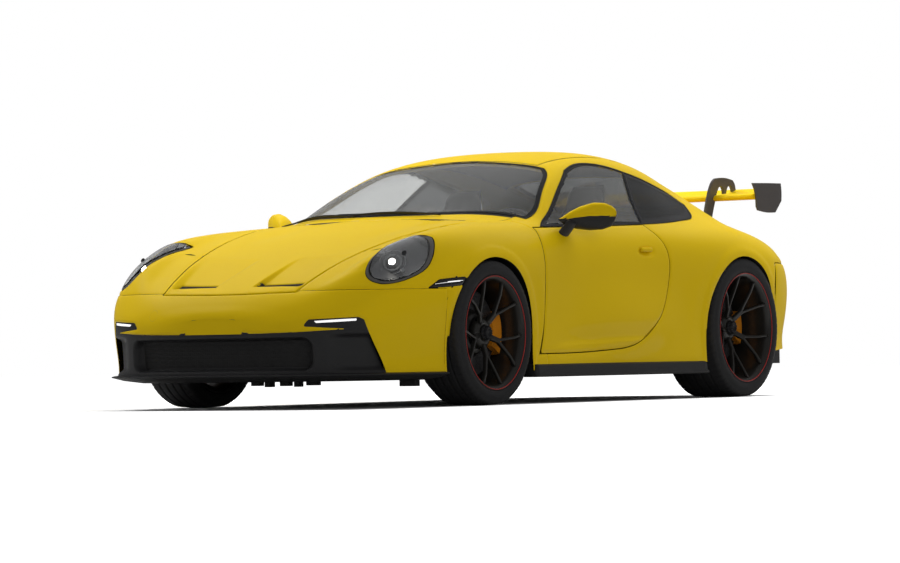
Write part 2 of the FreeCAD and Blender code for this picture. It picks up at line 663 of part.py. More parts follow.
def tyre(x, y, z, radius, width, rim_radius):
    """A tyre with bulged walls, rounded shoulders and a slightly crowned tread."""
    half = width / 2.0
    flange = rim_radius + RIM_FLANGE
    wall = Part.Arc(Vector(0, half - 9, flange + 1), Vector(0, half, 0.5 * (flange + radius) - 8),
                    Vector(0, half - 9, radius - 20)).toShape()
    shoulder = Part.Arc(Vector(0, half - 9, radius - 20), Vector(0, half - 17, radius - 8.5),
                        Vector(0, half - 32, radius - 3)).toShape()
    crown = Part.Arc(Vector(0, half - 32, radius - 3), Vector(0, 0, radius),
                     Vector(0, 32 - half, radius - 3)).toShape()
    seated = rim_radius + SEAT_GAP
    inner = [(half - 9, flange + 1), (half - 16, flange + 1), (half - BEAD, seated), (BEAD - half, seated),
             (16 - half, flange + 1), (9 - half, flange + 1)]
    bore = Part.makePolygon([Vector(0, *p) for p in inner])
    flip = Vector(0, 1, 0)
    middle = Vector(0, 0, 0)
    edges = [wall, shoulder, crown, shoulder.mirror(middle, flip), wall.mirror(middle, flip)]
    edges = Part.sortEdges(edges + bore.Edges)[0]
    ring = Part.Face(Part.Wire(edges)).revolve(Vector(0, 0, 0), Vector(0, 1, 0), 360)
    ring.translate(Vector(x, y, z))
    return ring


def bar(sections):
    """A tapering bar through rectangles, each given by its centre, half-width and half-depth vectors."""
    wires = []
    for centre, across, through in sections:
        corners = [centre + across + through, centre - across + through, centre - across - through,
                   centre + across - through]
        wires.append(Part.makePolygon(corners + corners[:1]))
    return Part.makeLoft(wires, True, False)


def rim(x, y, z, rim_radius, width, hub_depth):
    """A one-piece rim with forked spokes that sweep out from a sunken hub to the outer flange."""
    half = width / 2.0 - 7
    flange = rim_radius + RIM_FLANGE
    barrel = revolved([(flange, half), (flange, half - 8), (rim_radius, half - 13), (rim_radius, 13 - half),
                       (flange, 8 - half), (flange, -half), (rim_radius - 8, 2 - half),
                       (rim_radius - 16, 60 - half), (rim_radius - 14, half - 34),
                       (rim_radius - 4, half - 4)],
                      x, y, z)
    face = half - hub_depth
    bore = SPINDLE_RADIUS + RUNNING_GAP
    hub = revolved([(bore, face - HUB_LENGTH), (78, face - HUB_LENGTH), (74, face - 8), (46, face),
                    (46, face + 12), (bore, face + 12)], x, y, z)
    outer_y = half - 12
    fork = FORK_SHARE * rim_radius
    through = Vector(0, 1, 0)

    def place(radius, angle, depth):
        return Vector(x + radius * sin(angle), y + depth, z + radius * cos(angle))

    def across(angle, size):
        return Vector(size * cos(angle), 0, -size * sin(angle))

    arms = []
    for i in range(SPOKES):
        root = 2 * pi * i / SPOKES + pi / SPOKES
        for lean in (-1, 1):
            tip = root + lean * pi / SPOKES / 2
            stem = root + lean * STEM_SPREAD
            arms.append(bar([
                (place(60, stem, face - 20), across(stem, 12), through * 13),
                (place(fork, stem, face + 0.35 * (outer_y - face) - 8), across(stem, 8.5), through * 11),
                (place(rim_radius - 7, tip, outer_y - 6), across(tip, 7), through * 8)]))
    return barrel.fuse([hub] + arms)


def disc(x, y, z, radius):
    """A brake disc on its bell."""
    half = DISC_THICKNESS / 2.0
    bore = SPINDLE_RADIUS + RUNNING_GAP
    return revolved([(bore, half + BELL), (95, half + BELL), (105, half), (radius, half), (radius, -half),
                     (125, -half), (97, half - 6), (97, half + BELL - 8), (bore, half + BELL - 8)], x, y, z)


def caliper(x, y, z, radius, middle, spread):
    """A caliper that straddles the disc at an angle from straight up, turned towards the rear."""
    half = DISC_THICKNESS / 2.0 + MOVING_GAP
    block = revolved([(radius - 78, half), (radius - 70, half + 34), (radius + 14, half + 28),
                      (radius + 24, half + 8), (radius + 24, -half - 8), (radius + 14, -half - 34),
                      (radius - 70, -half - 40), (radius - 78, -half), (radius + MOVING_GAP, -half),
                      (radius + MOVING_GAP, half)], x, y, z)
    wedge = [Vector(0, 0, 0)]
    for k in range(5):
        a = radians(middle - spread + 2 * spread * k / 4.0)
        wedge.append(Vector(-500 * sin(a), 0, 500 * cos(a)))
    sector = Part.Face(Part.makePolygon(wedge + wedge[:1]))
    sector.translate(Vector(x, y - 200, z))
    return block.common(sector.extrude(Vector(0, 400, 0)))


AXLES = (("front", 0.0, FRONT_WHEEL_Y, FRONT_TYRE_RADIUS, FRONT_TYRE_WIDTH, FRONT_RIM_SEAT, FRONT_HUB_DEPTH,
          FRONT_DISC_RADIUS),
         ("rear", REAR, REAR_WHEEL_Y, REAR_TYRE_RADIUS, REAR_TYRE_WIDTH, REAR_RIM_SEAT, REAR_HUB_DEPTH,
          REAR_DISC_RADIUS))
hub_line = {}
for end, x, y, radius, width, seat_radius, depth, disc_radius in AXLES:
    face = y + width / 2.0 - 7 - depth
    disc_y = face - HUB_LENGTH - BELL - DISC_THICKNESS / 2.0
    hub_line[end] = (face, disc_y)
    shapes = {"tyre": tyre(x, y, radius, radius, width, seat_radius),
              "rim": rim(x, y, radius, seat_radius, width, depth),
              "disc": disc(x, disc_y, radius, disc_radius)}
    for kind, shape in shapes.items():
        for side, one in zip(("left", "right"), both(shape)):
            write("_".join((kind, end, side)), one)

# Front knuckles, each turning about an upright kingpin, and the arms that carry them
face, disc_y = hub_line["front"]
kingpin_y = FRONT_WHEEL_Y - KINGPIN_INSET
upper_z = FRONT_TYRE_RADIUS + UPPER_ARM_RISE
lower_z = FRONT_TYRE_RADIUS - LOWER_ARM_DROP


def upright_plate(x, y, z, thickness, top, bottom):
    """The flat web of an upright, widest at the axle."""
    half = [(24, bottom), (48, -40), (48, 40), (24, top)]
    outline = half + [(-px, pz) for px, pz in half[::-1]]
    points = [Vector(x + px, y, z + pz) for px, pz in outline]
    return Part.Face(Part.makePolygon(points + points[:1])).extrude(Vector(0, thickness, 0))


def arm(x, y_out, y_in, z, spread, thickness=16.0):
    """A wishbone from a ball joint at x, y_out to two pivots on the body at y_in."""
    legs = [box(x - 20, x + 20, y_out - 30, y_out, z - thickness / 2, z + thickness / 2),
            post(20, x, y_out, z - thickness / 2, z + thickness / 2)]
    for sign in (-1, 1):
        points = [Vector(x + sign * spread, y_in, z - thickness / 2),
                  Vector(x + sign * (spread - 26), y_in, z - thickness / 2),
                  Vector(x - sign * 10, y_out - 4, z - thickness / 2),
                  Vector(x + sign * 18, y_out - 4, z - thickness / 2)]
        legs.append(Part.Face(Part.makePolygon(points + points[:1])).extrude(Vector(0, 0, thickness)))
    return legs[0].fuse(legs[1:])


upright_y = kingpin_y - 6
knuckle = upright_plate(0, upright_y, FRONT_TYRE_RADIUS, 32, 182, -138).fuse([
    drum(SPINDLE_RADIUS, 0, FRONT_TYRE_RADIUS, upright_y + 20, face + 10),
    post(20, 0, kingpin_y, lower_z + BALL - 4, lower_z + 60),
    post(20, 0, kingpin_y, upper_z - 60, upper_z - BALL + 4),
    box(-150, -30, upright_y, upright_y + 22, FRONT_TYRE_RADIUS - 45, FRONT_TYRE_RADIUS + 45)])
front_caliper = caliper(0, disc_y, FRONT_TYRE_RADIUS, FRONT_DISC_RADIUS, 90, 27)
front_caliper = front_caliper.cut(box(-400, 0, upright_y, upright_y + 22, FRONT_TYRE_RADIUS - 45,
                                      FRONT_TYRE_RADIUS + 45))
for side, one in zip(("left", "right"), zip(both(knuckle), both(front_caliper))):
    write("knuckle_" + side, one[0])
    write("caliper_front_" + side, one[1])
lower = arm(0, kingpin_y, FRONT_WELL_INNER, lower_z - 0.3, 150)
upper = arm(0, kingpin_y, FRONT_WELL_INNER, upper_z + 4.3, 120)
write("front_arms", *(both(lower) + both(upper)))

# Rear uprights, arms and drive shafts, fixed to the body
face, disc_y = hub_line["rear"]
rear_z = REAR_TYRE_RADIUS
rear_plate_y = disc_y - DISC_THICKNESS / 2.0 - MOVING_GAP - 44
rear_upright = upright_plate(REAR, rear_plate_y, rear_z, 36, 182, -150).fuse([
    drum(SPINDLE_RADIUS, REAR, rear_z, rear_plate_y + 20, face + 10),
    box(REAR - 150, REAR - 30, rear_plate_y, rear_plate_y + 22, rear_z - 45, rear_z + 45),
    drum(24, REAR, rear_z, REAR_WELL_INNER + SEAT_GAP, rear_plate_y + 10)])
rear_arms = [arm(REAR, rear_plate_y + 18, REAR_WELL_INNER, rear_z + rise, spread)
             for rise, spread in ((-158, 150), (190, 120))]
rear_side = rear_upright.fuse(rear_arms)
write("rear_uprights", *both(rear_side))
rear_caliper = caliper(REAR, disc_y, rear_z, REAR_DISC_RADIUS, 90, 24)
write("rear_calipers", *both(rear_caliper.cut(box(REAR - 400, REAR, rear_plate_y, rear_plate_y + 22,
                                                  rear_z - 45, rear_z + 45))))

# Aero pieces
splitter_outline = halves([(FRONT_OVERHANG, 0), (FRONT_OVERHANG - 12, 300), (970, 560), (820, 780),
                           (640, 880), (430, 905)],
                          [(430, 905), (430, 640)], [(430, 640), (600, 560), (620, 0)])
write("splitter", prism(top_view, splitter_outline, 118, 155))

blade_outline = [[(-392, 880), (-1200, 905), (-2068, 925)], [(-2068, 925), (-2068, 840)],
                 [(-2068, 840), (-392, 820)], [(-392, 820), (-392, 880)]]
blade = prism(top_view, blade_outline, 128, 200).cut(outer)
write("sill_blades", *both(blade))

section = [[(WING_TRAIL, WING_Z + 52), (-3190, WING_Z + 17), (-3085, WING_Z + 14), (-3044, WING_Z + 4),
            (WING_LEAD, WING_Z - 6), (-3048, WING_Z - 14), (-3095, WING_Z - 15), (-3195, WING_Z - 6),
            (WING_TRAIL, WING_Z + 46)], [(WING_TRAIL, WING_Z + 46), (WING_TRAIL, WING_Z + 52)]]
wing_blade = prism(side_view, section, -WING_SPAN / 2, WING_SPAN / 2)
write("wing_blade", wing_blade)
plate_outline = [[(-3020, 1100), (-3345, 1132)], [(-3345, 1132), (-3345, 1040)],
                 [(-3345, 1040), (-3250, 975)], [(-3250, 975), (-3060, 975)], [(-3060, 975), (-3020, 1100)]]
plate = prism(side_view, plate_outline, WING_SPAN / 2, WING_SPAN / 2 + END_PLATE)
stay_outline = [[(-2935, 900), (-2960, 1000), (-3010, 1100), (-3090, 1160), (-3200, 1170), (-3290, 1150)],
                [(-3290, 1150), (-3290, 1030)], [(-3290, 1030), (-3170, 1030)],
                [(-3170, 1030), (-3160, 1090), (-3110, 1100), (-3070, 1060), (-3040, 980), (-3030, 880)],
                [(-3030, 880), (-2935, 900)]]
stay = prism(side_view, stay_outline, STAY_Y, STAY_Y + STAY).cut([outer, wing_blade])
stay = max(stay.Solids, key=lambda s: s.Volume)
write("wing_supports", *(both(plate) + both(stay)))

diffuser_outline = halves([(-2880, 0), (-2880, 600)], [(-2880, 600), (-3340, 640)],
                          [(-3340, 640), (-3470, 300), (-3512, 0)])
write("diffuser", prism(top_view, diffuser_outline, 170, 300).cut([outer] + tail_holes))

# Mirrors
mirror_plan = [[(-750, 848), (-790, 905), (-850, 968), (-915, 1018), (-955, 1030)],
               [(-955, 1030), (-872, 850)], [(-872, 850), (-750, 848)]]
mirror_face = [[(838, 893), (862, 925), (895, 955), (930, 973), (975, 968), (1015, 950), (1030, 923)],
               [(1030, 923), (1026, 885), (1005, 856), (950, 840), (890, 842), (838, 868)],
               [(838, 868), (838, 893)]]
mirror_head = prism(top_view, mirror_plan, 700, 1100).common(prism(front_view, mirror_face, -1100, -600))
stalk = bar([(Vector(-785, 795, 784), Vector(42, 0, 0), Vector(0, 9, -8)),
             (Vector(-800, 880, 886), Vector(34, 0, 0), Vector(0, 9, -8))])
mirror = mirror_head.fuse(stalk).cut(outer)
for side, one in zip(("left", "right"), both(max(mirror.Solids, key=lambda s: s.Volume))):
    write("mirror_" + side, one)


# Seats, dashboard and steering wheel
def seat_shell(y):
    shapes = [bar([(Vector(-1150, y, 350), Vector(0, 235, 0), Vector(0, 0, 70)),
                   (Vector(-1620, y, 330), Vector(0, 225, 0), Vector(0, 0, 60))]),
              box(-1550, -1200, y - 150, y + 150, FLOOR_TOP + SEAT_GAP, 300),
              bar([(Vector(-1600, y, 300), Vector(0, 225, 0), Vector(60, 0, 0)),
                   (Vector(-1760, y, 900), Vector(0, 215, 0), Vector(45, 0, 0)),
                   (Vector(-1810, y, 1120), Vector(0, 120, 0), Vector(35, 0, 0))])]
    return shapes[0].fuse(shapes[1:])


write("seats", *both(seat_shell(SEAT_Y)))
dash_outline = [[(-500, 560), (-500, 860), (-620, 905)], [(-620, 905), (-800, 880), (-850, 820)],
                [(-850, 820), (-830, 620), (-700, 560)], [(-700, 560), (-500, 560)]]
dash = prism(side_view, dash_outline, -DASH_REACH, DASH_REACH)
dash = dash.common(cabin)
write("dashboard", dash)
hoop = Part.makeTorus(WHEEL_RADIUS, 15, Vector(0, 0, 0), Vector(0.93, 0, 0.36))
hub_disc = Part.makeCylinder(42, 30, Vector(0, 0, 0), Vector(0.93, 0, 0.36))
column = Part.makeCylinder(24, 190, Vector(0, 0, 0), Vector(0.93, 0, -0.36))
spokes = [bar([(Vector(0, s * 30, -4), Vector(5, 0, 0), Vector(0, 0, 16)),
               (Vector(0, s * (WHEEL_RADIUS - 6), -4), Vector(5, 0, 0), Vector(0, 0, 12))]) for s in (-1, 1)]
steering = hoop.fuse([hub_disc, column] + spokes)
steering.translate(Vector(-985, SEAT_Y, WHEEL_Z))
write("steering_wheel", steering.cut(dash))

# Engine block behind the rear axle, and the tailpipes
write("engine", box(REAR - 700, REAR - 100, -310, 310, 320 + SEAT_GAP, 700))
pipe = Part.makeCylinder(PIPE_RADIUS, 111.7, Vector(-3512, PIPE_Y, PIPE_Z), Vector(1, 0, 0)).cut(
    Part.makeCylinder(PIPE_RADIUS - 5, 90, Vector(-3513, PIPE_Y, PIPE_Z), Vector(1, 0, 0)))
write("tailpipes", *both(pipe))
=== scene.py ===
# %% [markdown]
# # A rear-engined sports coupe, dressed for the studio
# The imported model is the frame: it holds every real part at its real size, and its joints.
# This script puts smooth painted skins, glass, lamps, tyres with tread and padded seats on it.
# Lengths are in metres, +X points forward, +Y to the car's left, and Z = 0 is the ground.

# %% Load the frame
import json
import bpy
import numpy as np
from math import pi
from mathutils import Matrix

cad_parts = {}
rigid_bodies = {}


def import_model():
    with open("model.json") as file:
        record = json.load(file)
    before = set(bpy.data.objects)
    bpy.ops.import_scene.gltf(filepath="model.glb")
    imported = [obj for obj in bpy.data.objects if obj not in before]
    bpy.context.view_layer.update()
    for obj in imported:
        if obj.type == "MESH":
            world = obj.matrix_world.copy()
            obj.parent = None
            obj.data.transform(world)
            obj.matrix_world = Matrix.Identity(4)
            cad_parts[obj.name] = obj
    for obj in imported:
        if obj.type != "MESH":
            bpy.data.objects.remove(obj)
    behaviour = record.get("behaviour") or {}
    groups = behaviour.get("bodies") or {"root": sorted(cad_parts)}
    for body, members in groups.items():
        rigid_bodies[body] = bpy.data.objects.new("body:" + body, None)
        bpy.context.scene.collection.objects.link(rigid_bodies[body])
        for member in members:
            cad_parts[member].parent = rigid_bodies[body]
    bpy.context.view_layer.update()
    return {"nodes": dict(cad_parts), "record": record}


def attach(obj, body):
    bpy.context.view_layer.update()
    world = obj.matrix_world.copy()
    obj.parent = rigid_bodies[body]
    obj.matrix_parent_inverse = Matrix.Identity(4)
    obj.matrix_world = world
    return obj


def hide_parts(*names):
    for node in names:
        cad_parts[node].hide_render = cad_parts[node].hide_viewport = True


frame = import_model()
AXLE = 1.2255
REAR_AXLE = AXLE - 2.457
nodes = frame["nodes"]

# %% [markdown]
# ## The camera
# The photograph was taken from far away with a long lens, low down, ahead of the car's left front wheel.
# The wheel centres, the rims and the roof fix where the camera stood, so its place and turn are
# written as measured. A long lens keeps the far side of the car nearly as large as the near side.

# %% Camera
CAMERA_PLACE = (18.6041, 11.6736, 0.2490)
YAW, PITCH, ROLL = -2.5769, 0.0165, -0.0150
forward = np.array([np.cos(YAW) * np.cos(PITCH), np.sin(YAW) * np.cos(PITCH), np.sin(PITCH)])
level = np.cross(forward, (0, 0, 1))
level /= np.linalg.norm(level)
upright = np.cross(level, forward)
right = np.cos(ROLL) * level + np.sin(ROLL) * upright
above = np.cross(right, forward)
camera = bpy.data.objects.new("camera", bpy.data.cameras.new("camera"))
bpy.context.scene.collection.objects.link(camera)
turn = np.eye(4)
turn[:3, 0], turn[:3, 1], turn[:3, 2], turn[:3, 3] = right, above, -forward, CAMERA_PLACE
camera.matrix_world = Matrix(turn.tolist())
camera.data.sensor_width = 36.0
camera.data.lens = 174.03
camera.data.clip_end = 200.0
bpy.context.scene.camera = camera
print("camera looks along", forward.round(3))

# %% [markdown]
# ## Studio light and floor
# Wide soft lamps above and beside the car light the top surfaces, and a dim even world fills the rest, so
# that the flanks fall to about half the roof's brightness as in the photograph. The powers were found
# by rendering each lamp alone, solving for the mix that gives the paint its brightness from the nose to
# the tail, and then changing them a little.
# The floor is white to the camera, except in a rectangle round the car where its glow is turned off:
# there the floor is painted darker, a painted shadow that reaches well behind the car and past its right
# side, and the shadow that the lamps cast under the car lies inside it.

# %% World, lamps and floor
scene = bpy.context.scene
scene.view_settings.view_transform = "Standard"
world = bpy.data.worlds.new("studio")
scene.world = world
world.use_nodes = True
tree = world.node_tree
tree.nodes.clear()
fill = tree.nodes.new("ShaderNodeBackground")
fill.inputs["Color"].default_value = (1, 1, 1, 1)
fill.inputs["Strength"].default_value = 0.15
white = tree.nodes.new("ShaderNodeBackground")
white.inputs["Color"].default_value = (1, 1, 1, 1)
white.inputs["Strength"].default_value = 1.0
seen = tree.nodes.new("ShaderNodeLightPath")
either = tree.nodes.new("ShaderNodeMath")
either.operation = "MAXIMUM"
choose = tree.nodes.new("ShaderNodeMixShader")
result = tree.nodes.new("ShaderNodeOutputWorld")
tree.links.new(seen.outputs["Is Camera Ray"], either.inputs[0])
tree.links.new(seen.outputs["Is Transmission Ray"], either.inputs[1])
tree.links.new(either.outputs[0], choose.inputs[0])
tree.links.new(fill.outputs[0], choose.inputs[1])
tree.links.new(white.outputs[0], choose.inputs[2])
tree.links.new(choose.outputs[0], result.inputs["Surface"])


def lamp(name, place, aim, size, size_y, power):
    """A soft rectangular lamp at place that faces aim. Glass and clear coat don't mirror it."""
    light = bpy.data.lights.new(name, "AREA")
    light.shape = "RECTANGLE"
    light.size, light.size_y, light.energy = size, size_y, power
    holder = bpy.data.objects.new(name, light)
    scene.collection.objects.link(holder)
    back = np.subtract(place, aim).astype(float)
    back /= np.linalg.norm(back)
    side = np.cross((0.0, 1.0, 0.001), back)
    side /= np.linalg.norm(side)
    frame_axes = np.eye(4)
    frame_axes[:3, 0], frame_axes[:3, 1], frame_axes[:3, 2] = side, np.cross(back, side), back
    frame_axes[:3, 3] = place
    holder.matrix_world = Matrix(frame_axes.tolist())
    holder.visible_glossy = holder.visible_transmission = False
    return holder


lamp("over_tail", (-4.0, 0.0, 5.0), (-0.5, 0.0, 0.5), 5.0, 6.0, 395.0)
lamp("over_right", (0.0, -3.5, 4.5), (0.0, 0.0, 0.6), 8.0, 2.5, 320.0)
lamp("left_side", (6.0, 8.0, 3.0), (0.0, 0.5, 0.5), 6.0, 3.0, 226.0)
lamp("right_front", (4.0, -6.0, 2.2), (1.0, -0.5, 0.5), 4.0, 3.0, 85.0)
lamp("left_rear", (-7.0, 4.5, 2.5), (-1.5, 0.5, 0.8), 4.0, 3.0, 100.0)
lamp("behind", (-8.0, 0.0, 3.0), (-1.5, 0.0, 0.8), 6.0, 3.0, 120.0)

bpy.ops.mesh.primitive_plane_add(size=60.0, location=(0, 0, 0))
floor = bpy.context.object
floor.name = "floor"
floor_paint = bpy.data.materials.new("floor_paint")
floor_paint.use_nodes = True
tree = floor_paint.node_tree
tree.nodes.clear()
dull = tree.nodes.new("ShaderNodeBsdfDiffuse")
where = tree.nodes.new("ShaderNodeTexCoord")
apart = tree.nodes.new("ShaderNodeSeparateXYZ")
tree.links.new(where.outputs["Object"], apart.inputs[0])


def math_node(tree, operation, first, second):
    """A maths node; first and second are sockets or numbers."""
    node = tree.nodes.new("ShaderNodeMath")
    node.operation = operation
    for socket, value in zip(node.inputs, (first, second)):
        if isinstance(value, (int, float)):
            socket.default_value = value
        else:
            tree.links.new(value, socket)
    return node.outputs[0]


# Painted shadow: inside this rectangle round the car the floor's glow fades out, so the floor there renders
# darker than the floor around it.
from_x = math_node(tree, "ABSOLUTE", math_node(tree, "ADD", apart.outputs[0], 1.2), 0.0)
from_y = math_node(tree, "ABSOLUTE", math_node(tree, "ADD", apart.outputs[1], 0.45), 0.0)
past_x = math_node(tree, "SUBTRACT", from_x, 3.6)
past_y = math_node(tree, "SUBTRACT", from_y, 1.35)
outside_painted_shadow = tree.nodes.new("ShaderNodeMapRange")
outside_painted_shadow.interpolation_type = "SMOOTHSTEP"
outside_painted_shadow.inputs["From Min"].default_value = -0.25
outside_painted_shadow.inputs["From Max"].default_value = 0.15
tree.links.new(math_node(tree, "MAXIMUM", past_x, past_y), outside_painted_shadow.inputs["Value"])
glow = tree.nodes.new("ShaderNodeEmission")
glow.inputs["Color"].default_value = (1, 1, 1, 1)
path = tree.nodes.new("ShaderNodeLightPath")
glow_outside_painted_shadow = math_node(tree, "MULTIPLY", path.outputs["Is Camera Ray"], outside_painted_shadow.outputs[0])
tone = tree.nodes.new("ShaderNodeMix")
tone.data_type = "RGBA"
tone.inputs["A"].default_value = (0.34, 0.34, 0.34, 1)
tone.inputs["B"].default_value = (0.90, 0.90, 0.90, 1)
tree.links.new(path.outputs["Is Camera Ray"], tone.inputs["Factor"])
tree.links.new(tone.outputs["Result"], dull.inputs["Color"])
both = tree.nodes.new("ShaderNodeAddShader")
result = tree.nodes.new("ShaderNodeOutputMaterial")
tree.links.new(math_node(tree, "MULTIPLY", glow_outside_painted_shadow, 1.05), glow.inputs["Strength"])
tree.links.new(dull.outputs[0], both.inputs[0])
tree.links.new(glow.outputs[0], both.inputs[1])
tree.links.new(both.outputs[0], result.inputs["Surface"])
floor.data.materials.append(floor_paint)
print("studio ready")

# %% [markdown]
# ## Finishes
# Each finish is a small node tree on Object coordinates, so its grain stays the same size on every part.
# Paint is a coloured base under a clear coat, with very fine flakes and a faint orange peel.
# Plastics get a moulded grain, rubber a dusty mottling, and leather a fine grain with soft bumps.

# %% Finish helper
def finish(name, color, roughness, metallic=0.0, grain=None, bump=0.0, stain=0.0, **sockets):
    """A Principled finish. grain is the noise scale per metre, bump its depth, stain its colour change."""
    made = bpy.data.materials.new(name)
    made.use_nodes = True
    shader = made.node_tree.nodes["Principled BSDF"]
    shader.inputs["Base Color"].default_value = (*color, 1)
    shader.inputs["Roughness"].default_value = roughness
    shader.inputs["Metallic"].default_value = metallic
    for socket, value in sockets.items():
        shader.inputs[socket.replace("_", " ")].default_value = value
    if grain:
        add = made.node_tree.nodes.new
        link = made.node_tree.links.new
        where = add("ShaderNodeTexCoord")
        noise = add("ShaderNodeTexNoise")
        noise.inputs["Scale"].default_value = grain
        noise.inputs["Detail"].default_value = 3.0
        link(where.outputs["Object"], noise.inputs["Vector"])
        if bump:
            relief = add("ShaderNodeBump")
            relief.inputs["Strength"].default_value = bump
            relief.inputs["Distance"].default_value = 0.001
            link(noise.outputs[0], relief.inputs["Height"])
            link(relief.outputs[0], shader.inputs["Normal"])
        if stain:
            ramp = add("ShaderNodeValToRGB")
            ramp.color_ramp.elements[0].position = 0.3
            ramp.color_ramp.elements[1].position = 0.7
            ramp.color_ramp.elements[0].color = (*(c * (1 - stain) for c in color), 1)
            ramp.color_ramp.elements[1].color = (*(min(1.0, c * (1 + stain)) for c in color), 1)
            link(noise.outputs[0], ramp.inputs[0])
            link(ramp.outputs[0], shader.inputs["Base Color"])
    return made


# %% The finishes
YELLOW = (0.80, 0.545, 0.004)
paint = finish("yellow_paint", YELLOW, 0.42, grain=900.0, bump=0.02, stain=0.04,
               Coat_Weight=0.22, Coat_Roughness=0.04, Specular_IOR_Level=0.06)
# Painted shade: a darker copy of the body yellow for door edges, jambs and other faces behind the panels, and
# for the seam round the towing flap.
shaded_inner_paint = finish("shaded_inner_paint", (0.62, 0.43, 0.010), 0.5, grain=300.0, stain=0.06)
black_gloss = finish("gloss_black", (0.010, 0.010, 0.011), 0.12, grain=200.0, bump=0.01, Coat_Weight=0.5)
black_plastic = finish("moulded_black", (0.020, 0.020, 0.021), 0.48, grain=1400.0, bump=0.25, stain=0.15)
rough_black = finish("wheel_well_felt", (0.010, 0.010, 0.011), 0.9, grain=500.0, bump=0.3, stain=0.3)
underside = finish("underside_coating", (0.016, 0.016, 0.017), 0.8, grain=250.0, bump=0.4, stain=0.25)
mesh_black = finish("grille_black", (0.014, 0.014, 0.014), 0.55, grain=800.0, bump=0.1, stain=0.2)
wing_grey = finish("wing_grey", (0.072, 0.064, 0.060), 0.45, grain=700.0, bump=0.05, stain=0.08)
glass_tint = finish("tinted_glass", (0.80, 0.81, 0.80), 0.02, grain=6.0, stain=0.02,
                    Transmission_Weight=1.0, IOR=1.45)
lamp_glass = finish("lamp_cover", (0.93, 0.94, 0.95), 0.02, grain=6.0, stain=0.01,
                    Transmission_Weight=1.0, IOR=1.45)
rubber = finish("tyre_rubber", (0.020, 0.020, 0.021), 0.72, grain=260.0, bump=0.2, stain=0.25)
rim_black = finish("satin_black_rim", (0.016, 0.015, 0.013), 0.28, grain=500.0, bump=0.03, stain=0.1,
                   Coat_Weight=0.25, Coat_Roughness=0.2)
rim_line = finish("red_rim_line", (0.42, 0.022, 0.018), 0.4, grain=300.0, stain=0.08)
iron = finish("brake_iron", (0.070, 0.070, 0.072), 0.42, 0.7, grain=420.0, bump=0.08, stain=0.2)
caliper_paint = finish("caliper_paint", (0.75, 0.26, 0.010), 0.3, grain=300.0, bump=0.05, stain=0.12,
                       Coat_Weight=0.4)
cast = finish("cast_alloy", (0.16, 0.16, 0.165), 0.5, 0.8, grain=350.0, bump=0.3, stain=0.2)
steel = finish("brushed_steel", (0.45, 0.45, 0.46), 0.25, 1.0, grain=160.0, bump=0.1, stain=0.1)
leather = finish("seat_leather", (0.026, 0.026, 0.027), 0.55, grain=520.0, bump=0.5, stain=0.2,
                 Sheen_Weight=0.15)
cloth = finish("seat_cloth", (0.035, 0.035, 0.037), 0.85, grain=900.0, bump=0.6, stain=0.3, Sheen_Weight=0.4)
cabin_plastic = finish("cabin_plastic", (0.030, 0.030, 0.031), 0.6, grain=1100.0, bump=0.35, stain=0.15)
chrome = finish("lamp_reflector", (0.09, 0.092, 0.095), 0.25, 0.9, grain=120.0, bump=0.02, stain=0.05)
dark_chrome = finish("smoked_reflector", (0.018, 0.018, 0.020), 0.35, 0.5, grain=120.0, bump=0.02, stain=0.05)
# This glowing white serves the light strips, which are lamps, and the painted highlight on each side marker.
lamp_and_highlight_glow = finish("light_strip", (0.9, 0.9, 0.92), 0.3, grain=200.0, stain=0.02, Emission_Strength=0.7,
                     Emission_Color=(1, 1, 1, 1))
light_core = finish("lamp_core", (1.0, 1.0, 0.95), 0.3, grain=200.0, stain=0.01, Emission_Strength=9.0,
                    Emission_Color=(1, 0.96, 0.85, 1))
tail_red = finish("tail_red", (0.30, 0.006, 0.006), 0.15, grain=200.0, stain=0.05, Coat_Weight=0.6)
print(len(bpy.data.materials), "finishes")

SLOTS = {"paint": paint, "underbody": underside, "black_trim": black_plastic, "grey_trim": wing_grey,
         "tinted_glass": glass_tint, "lamp_glass": lamp_glass, "tail_red": tail_red, "lamp_metal": chrome,
         "tyre": rubber, "rim_black": rim_black, "disc_iron": iron, "caliper_yellow": caliper_paint,
         "suspension_metal": cast, "seat_leather": leather, "cabin_plastic": cabin_plastic,
         "engine_metal": cast, "steel": steel}
for part in frame["record"]["subparts"]:
    for holder in nodes[part["node"]].material_slots:
        holder.material = SLOTS[part["material_slot"]]

# %% [markdown]
# ## The body skin
# The whole body is one surface: at each station x its section is a curve round a spine 0.4 m up, so a
# point is (x, r sin a, 0.4 + r cos a). The radius r is the larger of the lower body's and the
# greenhouse's, blended where they meet. Stations are joined by a cubic B-spline, as in the CAD source,
# so the skins here lie exactly on the solids. A subdivision cage could give a similar form, but then the
# seams wouldn't follow the real outlines, and the glass would need a cage of its own.

# %% Laws along the car
SPINE = 0.4
NOSE, TAIL = 1000.0, -3500.0


def law(*knots):
    """Monotone cubic through (x, value) knots: Hermite spans whose slopes are weighted harmonic means."""
    x, y = np.array(sorted(knots), float).T
    h = np.diff(x)
    d = np.diff(y) / h
    a, b = 2 * h[1:] + h[:-1], h[1:] + 2 * h[:-1]
    same = d[:-1] * d[1:] > 0
    safe = np.where(same, d[:-1] * d[1:], 1.0)
    before, after = np.where(same, d[:-1], 1), np.where(same, d[1:], 1)
    inner = np.where(same, (a + b) * safe / (a * after + b * before), 0.0)
    m = np.concatenate([d[:1], inner, d[-1:]])

    def value(q):
        q = np.clip(q, x[0], x[-1])
        i = np.clip(np.searchsorted(x, q, "right") - 1, 0, len(x) - 2)
        t = (q - x[i]) / h[i]
        return ((2 * t ** 3 - 3 * t ** 2 + 1) * y[i] + (t ** 3 - 2 * t ** 2 + t) * h[i] * m[i]
                + (3 * t ** 2 - 2 * t ** 3) * y[i + 1] + (t ** 3 - t ** 2) * h[i] * m[i + 1])

    return value


